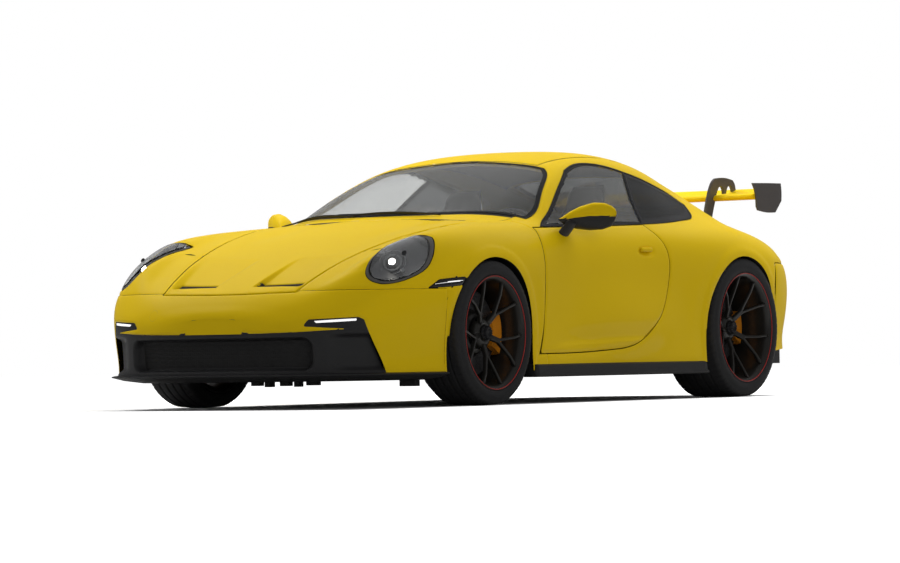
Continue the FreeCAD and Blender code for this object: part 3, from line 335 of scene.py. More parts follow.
# Lines of the lower body, by station from the front axle
centre_z = law(
    (1000, 420), (990, 446), (970, 478), (940, 512), (900, 541), (865, 556), (800, 582), (700, 620),
    (600, 655), (400, 722), (200, 782), (0, 832), (-200, 872), (-400, 903), (-600, 925), (-900, 935),
    (-1500, 940), (-2100, 985), (-2400, 1045), (-2600, 1035), (-2800, 990), (-3000, 948), (-3150, 920),
    (-3250, 900), (-3330, 868), (-3400, 810), (-3450, 720), (-3480, 600), (-3495, 500), (-3500, 440))
crest_y = law(
    (1000, 120), (985, 230), (960, 330), (900, 450), (850, 520), (800, 565), (700, 615), (600, 640),
    (450, 668), (300, 690), (100, 708), (-100, 718), (-400, 728), (-700, 752), (-1000, 770),
    (-1400, 778), (-1700, 776), (-2100, 752), (-2400, 735), (-2700, 705), (-3000, 655), (-3200, 600),
    (-3350, 520), (-3450, 400), (-3490, 250), (-3500, 150))
crest_z = law(
    (1000, 416), (985, 438), (960, 470), (900, 515), (850, 552), (800, 595), (700, 672), (600, 732),
    (450, 788), (300, 822), (100, 848), (-100, 864), (-400, 874), (-700, 872), (-1000, 872),
    (-1400, 876), (-1700, 884), (-2100, 900), (-2400, 905), (-2700, 880), (-3000, 835), (-3200, 785),
    (-3350, 725), (-3450, 640), (-3490, 500), (-3500, 436))
flank_y = law(
    (1000, 160), (990, 300), (975, 400), (950, 500), (900, 595), (850, 665), (800, 722), (700, 790),
    (600, 838), (450, 880), (300, 905), (100, 920), (-100, 920), (-300, 905), (-500, 880), (-800, 868),
    (-1300, 872), (-1700, 885), (-2000, 905), (-2250, 922), (-2500, 926), (-2700, 916), (-2900, 880),
    (-3050, 832), (-3180, 776), (-3300, 695), (-3380, 602), (-3440, 500), (-3480, 370), (-3500, 200))
flank_z = law(
    (1000, 380), (950, 395), (850, 425), (700, 475), (450, 540), (100, 590), (-300, 600), (-800, 640),
    (-1300, 660), (-1700, 660), (-2100, 640), (-2500, 630), (-2900, 600), (-3200, 520), (-3500, 400))
sill_y = law(
    (1000, 150), (990, 260), (975, 370), (950, 465), (900, 575), (850, 650), (800, 705), (700, 770),
    (600, 812), (450, 860), (300, 885), (0, 895), (-400, 885), (-1000, 880), (-1600, 888),
    (-2050, 900), (-2500, 905), (-2700, 897), (-2860, 868), (-3050, 805), (-3180, 745), (-3300, 660),
    (-3400, 540), (-3460, 400), (-3500, 180))
sill_z = law(
    (1000, 340), (990, 250), (975, 185), (950, 160), (850, 155), (450, 155), (0, 158), (-400, 162),
    (-1200, 172), (-2040, 186), (-2500, 210), (-2900, 240), (-3300, 255), (-3450, 280), (-3500, 330))

# Lines of the greenhouse
roof_z = law(
    (-300, 300), (-420, 860), (-520, 915), (-700, 1003), (-900, 1096), (-1100, 1180), (-1230, 1224),
    (-1400, 1258), (-1550, 1274), (-1700, 1279), (-1900, 1266), (-2100, 1235), (-2300, 1184),
    (-2500, 1122), (-2700, 1050), (-2900, 975), (-3050, 915), (-3200, 800), (-3300, 300))
belt_y = law(
    (-300, 150), (-400, 330), (-460, 480), (-540, 610), (-640, 700), (-760, 752), (-1000, 785),
    (-1300, 797), (-1600, 794), (-1900, 768), (-2150, 726), (-2400, 668), (-2700, 590), (-2950, 520),
    (-3100, 470), (-3300, 400))
belt_z = law(
    (-300, 850), (-600, 868), (-900, 872), (-1700, 892), (-2000, 912), (-2400, 930), (-2800, 880),
    (-3200, 800))
shoulder_blend = law((-300, 20), (-1800, 20), (-2100, 60), (-2400, 140), (-2800, 120), (-3200, 60))
GREENHOUSE = (-3180.0, -405.0)
shoulder = law((1000, 0), (550, 0), (150, 1), (-3500, 1))
rail_spread = law((-300, 1.08), (-700, 1.08), (-1000, 1.075), (-1250, 1.035), (-1500, 1.0), (-3300, 1.0))


# %% Sections and the net of control points
def drawn(points, samples=160):
    """Uniform cubic B-spline through each row of section points, mirrored at the centre line."""
    first = points[:, 1] * (-1, 1)
    last = 2 * points[:, -1] - points[:, -2]
    q = np.concatenate([first[:, None], points, last[:, None]], axis=1)
    spans = q.shape[1] - 3
    t = np.minimum(spans * np.arange(samples) / (samples - 1.0), spans - 1e-9)
    i = t.astype(int)
    u = (t - i)[None, :, None]
    return ((1 - u) ** 3 * q[:, i] + (3 * u ** 3 - 6 * u ** 2 + 4) * q[:, i + 1]
            + (-3 * u ** 3 + 3 * u ** 2 + 3 * u + 1) * q[:, i + 2] + u ** 3 * q[:, i + 3]) / 6


def lower_sections(x):
    """Half sections of the lower body, from the centre line over the crest and flank to the sill."""
    c, f, fz = centre_z(x), crest_y(x), crest_z(x)
    w, wz, s, sz = flank_y(x), flank_z(x), sill_y(x), sill_z(x)
    valley = np.where(fz > c, fz - 0.30 * (fz - c), fz + 0.25 * (c - fz))
    k = shoulder(x)
    y = [0 * x, 0.30 * f, 0.62 * f, 0.86 * f, f, f + (0.42 + 0.13 * k) * (w - f), w - 14 + 16 * k, w + 4,
         w - 6 + 0.3 * (s - w), s - 6, s]
    z = [c, c + 0.02 * (fz - c), c + 0.12 * (fz - c), valley, fz + 6, fz - (0.22 - 0.12 * k) * (fz - wz),
         wz + (0.42 + 0.13 * k) * (fz - wz), wz, wz - 0.45 * (wz - sz), sz + 0.22 * (wz - sz), sz]
    return drawn(np.stack([np.stack(y, 1), np.stack(z, 1)], 2))


def upper_sections(x):
    """Half sections of the greenhouse, run on below the belt."""
    r, b, bz = roof_z(x), belt_y(x), belt_z(x)
    h = r - bz
    y = b * rail_spread(x)
    across = [0 * x, 0.33 * y, 0.56 * y, 0.715 * y, 0.79 * y, 0.89 * y, b, 1.08 * b, 1.1 * b]
    up = [r, r - 0.015 * h, r - 0.07 * h, r - 0.19 * h, r - 0.42 * h, r - 0.71 * h, bz, bz - 120, bz - 300]
    return drawn(np.stack([np.stack(across, 1), np.stack(up, 1)], 2))


def polar(lines):
    """Angle from straight up and distance, both about the spine, along each section."""
    a = np.maximum.accumulate(np.arctan2(lines[..., 0], lines[..., 1] - 400.0), axis=1)
    return a, np.hypot(lines[..., 0], lines[..., 1] - 400.0)


ROWS, COLUMNS = 54, 34
stations = NOSE - (NOSE - TAIL) * 0.5 * (1 - np.cos(0.02 + (pi - 0.04) * np.arange(ROWS) / (ROWS - 1.0)))
share = np.arange(COLUMNS) / (COLUMNS - 1.0)
share = share - 0.055 * np.sin(2 * pi * share)
low_a, low_r = polar(lower_sections(stations))
high_a, high_r = polar(upper_sections(stations))
net = np.zeros((ROWS, 2 * COLUMNS - 1, 3))
for row, x in enumerate(stations):
    a = share * low_a[row, -1]
    r = np.interp(a, low_a[row], low_r[row])
    if GREENHOUSE[0] < x < GREENHOUSE[1]:
        g = np.interp(a, high_a[row], high_r[row])
        k = shoulder_blend(x)
        r = np.maximum(r, g) + np.maximum(k - abs(r - g), 0.0) ** 2 / (4.0 * k)
    net[row, COLUMNS - 1:] = np.stack([x + 0 * a, r * np.sin(a), 400.0 + r * np.cos(a)], 1)
net[:, :COLUMNS - 1] = net[:, :COLUMNS - 1:-1] * (1, -1, 1)
net /= 1000.0
net[..., 0] += AXLE
print("control net", net.shape, "roof at", net[..., 2].max().round(4))


# %% Points and normals of the skin
def basis(count, t):
    """The four cubic B-spline weights at t on a clamped even knot line, by the usual triangle of ratios."""
    knots = np.concatenate([[0.0] * 3, np.arange(count - 2.0), [count - 3.0] * 3])
    i = np.clip(np.floor(t).astype(int), 0, count - 4)
    weights = [np.ones_like(t)]
    for j in range(1, 4):
        saved = np.zeros_like(t)
        for k in range(j):
            right_side, left_side = knots[i + 4 + k], knots[i + 4 + k - j]
            ratio = weights[k] / (right_side - left_side)
            weights[k] = saved + (right_side - t) * ratio
            saved = (t - left_side) * ratio
        weights.append(saved)
    return i, weights


NOSE_X, BLUNT = AXLE + 1.0, 0.040
HOLLOW = 0.021
hollow_x = np.linspace(AXLE - 0.6, NOSE_X, 200)
hollow_y = np.array([0.85 * crest_y((x - AXLE) * 1000) / 1000 for x in hollow_x])


def shaped(p):
    """The drawn surface with a blunter tip and a deeper hollow between each headlamp and the bonnet.

    Within BLUNT of the tip x gains BLUNT * t * (1 - t)^2, so that the nose ends square to the road.
    """
    t = np.clip((NOSE_X - p[..., 0]) / BLUNT, 0, 1)
    d = abs(p[..., 1]) - np.interp(p[..., 0], hollow_x, hollow_y)
    side = np.exp(-(d / np.where(d < 0, 0.105, 0.055)) ** 2)
    ahead = np.interp(p[..., 0] - AXLE, (-0.25, 0.0, 0.35, 0.70, 0.82, 0.90), (0.0, 0.45, 1.0, 1.0, 0.4, 0.0))
    above_belt = np.clip((p[..., 2] - 0.45) / 0.1, 0, 1)
    x = p[..., 0] + BLUNT * t * (1 - t) ** 2
    return np.stack([x, p[..., 1], p[..., 2] - HOLLOW * side * ahead * above_belt], -1)


def skin(u, v):
    """Point of the body at u (0 nose to 51 tail) and v (0 right sill, 32 centre line, 64 left sill)."""
    u, v = np.broadcast_arrays(np.asarray(u, float), np.asarray(v, float))
    i, wu = basis(ROWS, np.clip(u, 0, ROWS - 3))
    j, wv = basis(2 * COLUMNS - 1, np.clip(v, 0, 2 * COLUMNS - 4))
    return shaped(sum((wu[a] * wv[b])[..., None] * net[i + a, j + b] for a in range(4) for b in range(4)))


def skin_normal(u, v, step=0.02, base=None):
    """Outward unit normal: the cross product of the two central differences."""
    base = base or skin
    across = base(u, v + step) - base(u, v - step)
    ahead = base(u + step, v) - base(u - step, v)
    n = np.cross(across, ahead)
    n /= np.linalg.norm(n, axis=-1, keepdims=True) + 1e-12
    return n


U_END, V_END, V_MID = ROWS - 3.0, 2.0 * COLUMNS - 4.0, COLUMNS - 2.0
probe = skin(20.0, 40.0)
facing = np.sign(np.dot(skin_normal(20.0, 40.0), probe - (probe[0], 0, SPINE)))
print("normals face", "out" if facing > 0 else "in")

# %% [markdown]
# ## Cutting panels out of the skin
# A seam is drawn as an outline in a side, top or front view. Its signed distance is a field over the
# skin, negative inside, and panels are made by taking the larger or smaller of such fields. A grid is
# laid over the skin, its cells inside the field are kept, and the points on their border slide along the
# skin until the field is zero there, so a seam is a clean line and not a row of steps. A Boolean
# modifier would do this too, but it leaves long thin triangles that spoil the gloss of paint.

# %% Outlines and fields
SIDE, TOP, FRONT = (0, 2), (0, 1), (1, 2)


def smooth_run(points, samples=24):
    """Cubic spline through points, with chord lengths as its parameter and no bend at its ends."""
    p = np.array(points, float)
    if len(p) == 2:
        return p[:-1]
    t = np.concatenate([[0], np.cumsum(np.linalg.norm(np.diff(p, axis=0), axis=1))])
    h = np.diff(t)
    n = len(p)
    system, target = np.eye(n), np.zeros((n, 2))
    for k in range(1, n - 1):
        system[k, k - 1:k + 2] = h[k - 1], 2 * (h[k - 1] + h[k]), h[k]
        target[k] = 6 * ((p[k + 1] - p[k]) / h[k] - (p[k] - p[k - 1]) / h[k - 1])
    m = np.linalg.solve(system, target)
    q = np.linspace(0, t[-1], samples, endpoint=False)
    i = np.clip(np.searchsorted(t, q, "right") - 1, 0, n - 2)
    a, b, w = (t[i + 1] - q)[:, None], (q - t[i])[:, None], h[i][:, None]
    return (m[i] * a ** 3 / (6 * w) + m[i + 1] * b ** 3 / (6 * w) + (p[i] / w - m[i] * w / 6) * a
            + (p[i + 1] / w - m[i + 1] * w / 6) * b)


def outline(view, runs, grow=0.0):
    """Field of a closed outline in millimetres from the front axle: distance to it, negative inside."""
    line = np.concatenate([smooth_run(run) for run in runs]) / 1000.0
    if view[0] == 0:
        line[:, 0] += AXLE
    ends = np.roll(line, -1, axis=0)

    def field(p):
        q = p[..., list(view)].reshape(-1, 2)
        best = np.full(len(q), 1e9)
        inside = np.zeros(len(q), bool)
        for a, b in zip(line, ends):
            step = b - a
            t = np.clip(((q - a) @ step) / (step @ step + 1e-18), 0, 1)
            best = np.minimum(best, ((q - a - t[:, None] * step) ** 2).sum(1))
            crosses = (a[1] > q[:, 1]) != (b[1] > q[:, 1])
            if crosses.any():
                at = a[0] + (q[:, 1] - a[1]) * step[0] / (step[1] if abs(step[1]) > 1e-12 else 1e-12)
                inside ^= crosses & (q[:, 0] < at)
        return (np.where(inside, -1.0, 1.0) * np.sqrt(best) - grow).reshape(p.shape[:-1])

    return field


def halves(front, side, back):
    """The runs of an outline that is symmetric about the centre line, from those of its left half."""
    def flip(run):
        return [(x, -y) for x, y in run]
    return [flip(front[1:])[::-1] + front, side, back + flip(back[:-1])[::-1], flip(side)[::-1]]


def beyond(axis, place, sign=1):
    """Field of a half space: negative where sign times the coordinate is greater than place (metres)."""
    return lambda p: place * sign - p[..., axis] * sign


def circle(view, centre, radius):
    """Field of a round hole, all in metres."""
    return lambda p: np.hypot(p[..., view[0]] - centre[0], p[..., view[1]] - centre[1]) - radius


def both_in(*fields):
    """Inside every one of the fields: their maximum."""
    return lambda p: np.maximum.reduce([f(p) for f in fields])


def any_in(*fields):
    """Inside at least one of the fields: their minimum."""
    return lambda p: np.minimum.reduce([f(p) for f in fields])


def outside(field):
    return lambda p: -field(p)


# %% Cut a panel
def evenly(a, b, path, step):
    """Parameters from a to b that stand step apart along path."""
    t = np.linspace(a, b, 1500)
    length = np.concatenate([[0], np.cumsum(np.linalg.norm(np.diff(path(t), axis=0), axis=1))])
    return np.interp(np.linspace(0, length[-1], int(length[-1] / step) + 2), length, t)


def slide_to(field, u, v, reach, rounds=4, base=skin):
    """Newton steps along the surface, in true lengths, until the field is zero; reach limits each step."""
    e = 0.01
    for _ in range(rounds):
        p = base(u, v)
        pu, pv = (base(u + e, v) - p) / e, (base(u, v + e) - p) / e
        d = field(p)
        gu, gv = (field(p + pu * e) - d) / e, (field(p + pv * e) - d) / e
        lu, lv = np.linalg.norm(pu, axis=1) + 1e-9, np.linalg.norm(pv, axis=1) + 1e-9
        steep = (gu / lu) ** 2 + (gv / lv) ** 2 + 1e-9
        du, dv = -d * gu / lu ** 2 / steep, -d * gv / lv ** 2 / steep
        length = np.hypot(du * lu, dv * lv)
        limit = np.minimum(1.0, reach / np.maximum(length, 1e-9))
        u = np.clip(u + du * limit, 0, U_END)
        v = np.clip(v + dv * limit, 0, V_END)
    return u, v


def cut(field, u_span, v_span, cell, inset=0.0, roll=0.0, relief=None, base=skin):
    """Points and quads of the part of the skin, or of another surface, that lies inside the field.

    inset moves it inwards along the normal, roll bends its border down by that radius, and
    relief(points) gives a further depth at each point, for channels and dishes.
    """
    mid_u, mid_v = 0.5 * sum(u_span), 0.5 * sum(v_span)
    us = evenly(*u_span, lambda t: base(t, mid_v), cell)
    vs = evenly(*v_span, lambda t: base(mid_u, t), cell)
    U, V = np.meshgrid(us, vs, indexing="ij")
    middle = base(0.25 * (U[1:, 1:] + U[:-1, 1:] + U[1:, :-1] + U[:-1, :-1]),
                  0.25 * (V[1:, 1:] + V[:-1, 1:] + V[1:, :-1] + V[:-1, :-1]))
    keep = field(middle) < 0
    index = np.arange(U.size).reshape(U.shape)
    quads = np.stack([index[:-1, :-1], index[1:, :-1], index[1:, 1:], index[:-1, 1:]], -1)[keep]
    uses = np.bincount(quads.ravel(), minlength=U.size)
    border = (uses > 0) & (uses < 4)
    u, v = U.ravel().copy(), V.ravel().copy()
    near = abs(field(base(u[border], v[border]))) < 1.5 * cell
    where = np.flatnonzero(border)[near]
    u[where], v[where] = slide_to(field, u[where], v[where], 0.8 * cell, base=base)
    used = np.flatnonzero(uses)
    renumber = np.full(U.size, -1)
    renumber[used] = np.arange(len(used))
    u, v = u[used], v[used]
    p, n = base(u, v), skin_normal(u, v, base=base) * facing
    depth = np.full(len(p), inset)
    if roll:
        d = np.minimum(field(p), 0.0)
        t = np.clip(1.0 + d / roll, 0.0, 1.0)
        depth = depth + roll * (1.0 - np.sqrt(np.maximum(1.0 - t * t, 0.0)))
    if relief:
        depth = depth + relief(p)
    p = p - n * depth[:, None]
    quads = renumber[quads]
    a, b, c = p[quads[:, 0]], p[quads[:, 1]], p[quads[:, 2]]
    if len(quads) and np.median((np.cross(b - a, c - a) * n[quads[:, 0]]).sum(1)) < 0:
        quads = quads[:, ::-1]
    return p, quads


def mirror_mesh(points, faces):
    """The other side's points and faces: y changes sign, and the faces turn over so as to face out."""
    return points * (1, -1, 1), faces[:, ::-1]


def piece(name, points, faces, material, body, smooth=True, replaces=(), slot=None):
    """One object at the origin from numpy points and faces of equal size, on its CAD body."""
    faces = np.asarray(faces)
    made = bpy.data.meshes.new(name)
    made.vertices.add(len(points))
    made.vertices.foreach_set("co", np.asarray(points, np.float32).ravel())
    made.loops.add(faces.size)
    made.loops.foreach_set("vertex_index", faces.astype(np.int32).ravel())
    made.polygons.add(len(faces))
    made.polygons.foreach_set("loop_start", np.arange(0, faces.size, faces.shape[1], dtype=np.int32))
    made.update(calc_edges=True)
    made.validate()
    made.polygons.foreach_set("use_smooth", np.full(len(made.polygons), smooth))
    for one in (material if isinstance(material, (list, tuple)) else [material]):
        made.materials.append(one)
    holder = bpy.data.objects.new(name, made)
    scene.collection.objects.link(holder)
    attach(holder, body)
    if replaces:
        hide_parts(*([replaces] if isinstance(replaces, str) else replaces))
    return holder


def thicken(holder, thickness, offset=-1.0):
    """A wall grown from the sheet, inwards unless offset says otherwise."""
    solid = holder.modifiers.new("wall", "SOLIDIFY")
    solid.thickness = thickness
    solid.offset = offset
    solid.use_even_offset = False
    return holder


def pair(name, made, material, bodies, **more):
    """A left piece and its mirror image on the right, named name_left and name_right."""
    points, faces = made
    flipped = mirror_mesh(points, faces)
    wanted = more.pop("replaces", None)
    out = []
    for side, (p, f), body in zip(("left", "right"), (made, flipped), bodies):
        stands = [w + "_" + side for w in wanted] if wanted else ()
        out.append(piece(name + "_" + side, p, f, material, body, replaces=stands, **more))
    return out

# %% [markdown]
# ## The painted panels
# A car's body is read by its seams: bonnet, wings, doors, roof, tail lid and bumpers are separate
# pressings with a gap of a few millimetres and a rolled edge. Each is cut from the one skin, so light
# runs across the gaps without a step, and each rides on its own body, so doors and lids still open.

# %% Seam outlines, in millimetres from the front axle
GAP, FINE = 0.0026, 0.0007
SEAM_ROLL = 0.003
bonnet_runs = halves([(905, 0), (898, 200), (872, 378)], [(872, 378), (-345, 602)],
                     [(-345, 602), (-405, 300), (-425, 0)])
tail_lid_runs = halves([(-2872, 0), (-2880, 240), (-2905, 455)], [(-2905, 455), (-3215, 520)],
                       [(-3215, 520), (-3300, 300), (-3325, 0)])
screen_runs = halves([(-545, 0), (-552, 260), (-580, 480), (-655, 690)],
                     [(-655, 690), (-761, 684), (-891, 636), (-1022, 584), (-1122, 532), (-1158, 496)],
                     [(-1158, 496), (-1182, 250), (-1213, 0)])
rear_screen_runs = halves([(-2290, 0), (-2296, 200), (-2330, 430)],
                          [(-2330, 430), (-2600, 420), (-2815, 400)],
                          [(-2815, 400), (-2835, 200), (-2840, 0)])
roof_runs = halves([(-1225, 0), (-1205, 240), (-1180, 440)], [(-1180, 440), (-1700, 470), (-2310, 440)],
                   [(-2310, 440), (-2285, 220), (-2280, 0)])
door_runs = [
    [(-568, 853), (-530, 790), (-519, 700), (-519, 560), (-513, 430), (-498, 330), (-464, 241)],
    [(-464, 241), (-875, 245), (-1231, 260)],
    [(-1231, 260), (-1380, 284), (-1533, 356), (-1648, 456), (-1703, 570), (-1719, 705), (-1690, 789),
     (-1650, 839), (-1608, 884)],
    [(-1608, 884), (-1370, 875), (-1000, 864), (-568, 853)]]
pane_front = [(-640, 856), (-784, 913), (-906, 980), (-1068, 1073), (-1231, 1154)]
pane_top = [(-1231, 1154), (-1355, 1186), (-1479, 1198), (-1620, 1190), (-1788, 1161)]
divider = [(-1788, 1161), (-1671, 1011), (-1608, 884)]
pane_belt = [(-1608, 884), (-1370, 875), (-1000, 864), (-640, 856)]
rear_pane_top = [(-1788, 1161), (-1956, 1131), (-2180, 1083), (-2300, 1042), (-2345, 1004)]
rear_pane_foot = [(-2345, 1004), (-2278, 949), (-2120, 915), (-1860, 895), (-1608, 884)]
window_runs = [pane_front, pane_top, rear_pane_top, rear_pane_foot, pane_belt]
lamp_runs = [[(742, 574), (700, 588), (668, 615), (650, 648), (636, 693), (614, 748), (607, 778), (625, 802),
              (668, 811)],
             [(668, 811), (717, 807), (776, 779), (811, 735), (833, 680), (834, 630), (806, 592), (770, 576),
              (742, 574)]]
marker_runs = [[(495, 553), (425, 590)], [(425, 590), (330, 598), (240, 603)], [(240, 603), (276, 566)],
               [(276, 566), (380, 559), (495, 553)]]
mask_runs = [[(-200, 350), (250, 350), (437, 353)], [(437, 353), (642, 364)], [(642, 364), (646, 371)],
             [(646, 371), (526, 380), (473, 384)], [(473, 384), (493, 411)], [(493, 411), (690, 419)],
             [(690, 419), (707, 408)], [(707, 408), (762, 158)], [(762, 158), (762, 60)],
             [(762, 60), (-200, 60)], [(-200, 60), (-200, 350)]]
tail_lamp_runs = [[(-800, 742), (0, 752), (800, 742)], [(800, 742), (800, 770)],
                  [(800, 770), (0, 780), (-800, 770)], [(-800, 770), (-800, 742)]]


def both_sides(field):
    """The field of a left-hand outline, used on both sides."""
    return lambda p: field(p * np.where(np.arange(3) == 1, np.where(p[..., 1:2] < 0, -1.0, 1.0), 1.0))


bonnet = outline(TOP, bonnet_runs)
tail_lid = outline(TOP, tail_lid_runs)
screen = both_in(outline(TOP, screen_runs), beyond(2, 0.85))
rear_screen = both_in(outline(TOP, rear_screen_runs), beyond(2, 0.80))
roof = both_in(outline(TOP, roof_runs), beyond(2, 1.0))
door = outline(SIDE, door_runs)
windows = outline(SIDE, window_runs)
headlamp = both_in(both_sides(outline(FRONT, lamp_runs)), beyond(0, AXLE + 0.3))
marker = outline(SIDE, marker_runs)
mask = both_in(both_sides(outline(FRONT, mask_runs)), beyond(0, AXLE + 0.66))
tail_strip = both_in(outline(FRONT, tail_lamp_runs), beyond(0, AXLE - 2.99, -1))
FRONT_ARCH = (AXLE - 0.020, 0.330, 0.370)
REAR_ARCH = (REAR_AXLE + 0.002, 0.352, 0.377)


def arch(place, ahead, behind):
    """A round wheel opening with straight sides down to the sill."""
    x, z, radius = place
    legs = both_in(beyond(0, behind), beyond(0, ahead, -1), beyond(2, z, -1))
    return any_in(circle(SIDE, (x, z), radius), legs)


front_arch = arch(FRONT_ARCH, AXLE + 0.366, AXLE - 0.392)
rear_arch = arch(REAR_ARCH, REAR_AXLE + 0.385, REAR_AXLE - 0.390)
DOOR_X, BUMPER_X, BUMPER_Z = AXLE - 0.530, AXLE + 0.380, 0.549
TAIL_X, TAIL_Z = REAR_AXLE - 0.385, 0.700
cowl = both_in(beyond(0, AXLE - 0.78), beyond(0, AXLE - 0.38, -1), beyond(1, 0.640, -1),
               beyond(1, -0.640), beyond(2, 0.70))
nose_zone = both_in(beyond(0, BUMPER_X), beyond(2, BUMPER_Z, -1))
tail_zone = both_in(beyond(0, TAIL_X, -1), beyond(2, TAIL_Z, -1))


def wider(field, by=GAP):
    """The same region grown by a seam's width."""
    return lambda p: field(p) - by


def narrower(field, by=GAP):
    return lambda p: field(p) + by


def station(x_mm):
    """The skin parameter u at a distance from the front axle."""
    u = np.linspace(0, U_END, 3000)
    x = skin(u, V_MID)[:, 0]
    return float(np.interp(-(x_mm / 1000 + AXLE), -x, u))


print("nose to door", [round(station(x), 2) for x in (1000, 380, -530, -1700, -2842, -3500)])

# %% Bonnet
SLOT_X, SLOT_REAR, SLOT_IN, SLOT_OUT = AXLE + 0.822, AXLE + 0.44, 0.112, 0.350
SLOT_LONG = 0.064


def ease(t):
    """Smooth step from 0 to 1: three t squared less two t cubed."""
    t = np.clip(t, 0, 1)
    return t * t * (3 - 2 * t)


def channel(p):
    """Depth of the two outlet channels: deepest at the slot, a straight ramp back up to the bonnet."""
    x, y = p[..., 0], abs(p[..., 1])
    back = np.clip((SLOT_X - x) / (SLOT_X - SLOT_REAR), 0, 1)
    outer_edge = SLOT_OUT + 0.075 * back
    across = ease((y - SLOT_IN + 0.008) / 0.016) * ease((outer_edge + 0.03 - y) / 0.05)
    along = ease((SLOT_X + 0.004 - x) / 0.010) * (1 - back)
    return 0.026 * across * along


def crown(p):
    """A faint hollow each side of the bonnet's raised middle."""
    x, y = p[..., 0], abs(p[..., 1])
    return 0.006 * np.exp(-((y - 0.33) / 0.09) ** 2) * ease((AXLE + 0.25 - x) / 0.3)


def slot_area(grow):
    """The slot at the head of each channel, as a field; grow widens it on every side."""
    corner = 0.006

    def field(p):
        dx = abs(p[..., 0] - (SLOT_X - SLOT_LONG / 2)) - (SLOT_LONG / 2 + grow - corner)
        dy = abs(abs(p[..., 1]) - (SLOT_IN + SLOT_OUT) / 2) - ((SLOT_OUT - SLOT_IN) / 2 + grow - corner)
        edge = np.hypot(np.maximum(dx, 0), np.maximum(dy, 0)) + np.minimum(np.maximum(dx, dy), 0) - corner
        return np.maximum(edge, 0.42 - p[..., 2])

    return field


bonnet_field = both_in(narrower(both_in(bonnet, beyond(2, 0.42))), outside(slot_area(0.0)))
points, quads = cut(bonnet_field, (station(912), station(-432)), (6, 58), 0.009, roll=SEAM_ROLL,
                    relief=lambda p: channel(p) + crown(p))
lid = piece("bonnet", points, quads, paint, "front_lid", replaces="front_lid", slot="paint")
thicken(lid, 0.012)
outlet = cut(slot_area(0.006), (station(850), station(735)), (V_MID + 1, 53), 0.004, inset=0.0025,
             relief=lambda p: channel(p) + crown(p))
pair("bonnet_outlet", outlet, black_plastic, ("front_lid", "front_lid"), slot="black_trim")
print("bonnet", len(quads), "quads")

# %% Wings, side frames, doors
def half_panel(name, field, span, cell, bodies, material=paint, inset=0.0, roll=SEAM_ROLL, relief=None,
               **more):
    """A left panel and its mirror image."""
    u_span = (station(span[0]), station(span[1]))
    made = cut(field, u_span, (V_MID, V_END), cell, inset=inset, roll=roll, relief=relief)
    print(name, len(made[1]), "quads")
    return pair(name, made, material, bodies, slot="paint", **more)


BODY = ("body", "body")
DOORS = ("door_left", "door_right")
wing_field = both_in(beyond(0, DOOR_X), outside(wider(bonnet)), outside(wider(cowl, 0)), outside(wider(door)),
                     outside(wider(nose_zone, FINE)), outside(front_arch), outside(wider(headlamp)),
                     outside(wider(marker)), outside(screen))


def front_lip(p):
    """The flare round the wheel opening stands out a little: a shallow hollow ahead of it."""
    d = np.hypot(p[..., 0] - FRONT_ARCH[0], p[..., 2] - FRONT_ARCH[1]) - FRONT_ARCH[2]
    return 0.004 * ease((d - 0.048) / 0.008) * (1 - ease((d - 0.056) / 0.10))


half_panel("wing_skin", wing_field, (905, -535), 0.011, BODY, relief=front_lip)
frame_field = both_in(beyond(0, DOOR_X, -1), outside(wider(door)), outside(windows), outside(screen),
                      outside(rear_screen), outside(wider(roof)), outside(wider(tail_lid)),
                      outside(wider(tail_zone)), outside(wider(cowl, 0)), outside(rear_arch),
                      outside(wider(tail_strip)), outside(wider(bonnet)))


def rear_lip(p):
    d = np.hypot(p[..., 0] - REAR_ARCH[0], p[..., 2] - REAR_ARCH[1]) - REAR_ARCH[2]
    return 0.004 * ease((d - 0.045) / 0.008) * (1 - ease((d - 0.053) / 0.10))


half_panel("side_skin", frame_field, (-525, -3500), 0.014, BODY, relief=rear_lip)
HANDLE = (AXLE - 1.515, 0.742)


def door_relief(p):
    """The crease above the sill and the dish behind the handle."""
    x, z = p[..., 0], p[..., 2]
    fold = 0.275 + 0.035 * (AXLE - 0.5 - x)
    crease = 0.006 * ease((z - fold) / 0.008) * (1 - ease((z - fold - 0.008) / 0.10))
    grip = np.hypot((x - HANDLE[0] - 0.01) / 0.075, (z - HANDLE[1]) / 0.022)
    return crease * ease((AXLE - 0.55 - x) / 0.25) + 0.014 * (1 - ease(grip - 0.3))


door_field = narrower(both_in(door, outside(windows)))
half_panel("door_skin", door_field, (-455, -1725), 0.010, DOORS, relief=door_relief)

# %% Roof, tail lid and bumpers
points, quads = cut(narrower(roof, 0.0015), (station(-1170), station(-2320)), (10, 54), 0.014, roll=0.002)
piece("roof_skin", points, quads, paint, "body", slot="paint")


def slats(p):
    """Long openings across the middle of the tail lid, as shallow steps."""
    x, y = p[..., 0], abs(p[..., 1])
    back = REAR_AXLE - x
    inside = ease((0.36 - y) / 0.02) * ease((back - 0.475) / 0.02) * ease((0.70 - back) / 0.02)
    return 0.009 * inside * (0.5 - 0.5 * np.sin(back * 2 * pi / 0.045))


lid_field = narrower(both_in(tail_lid, beyond(2, 0.6)))
points, quads = cut(lid_field, (station(-2865), station(-3335)), (8, 56), 0.010, roll=SEAM_ROLL, relief=slats)
lid = piece("tail_lid_skin", points, quads, paint, "rear_lid", replaces="rear_lid", slot="paint")
thicken(lid, 0.018)

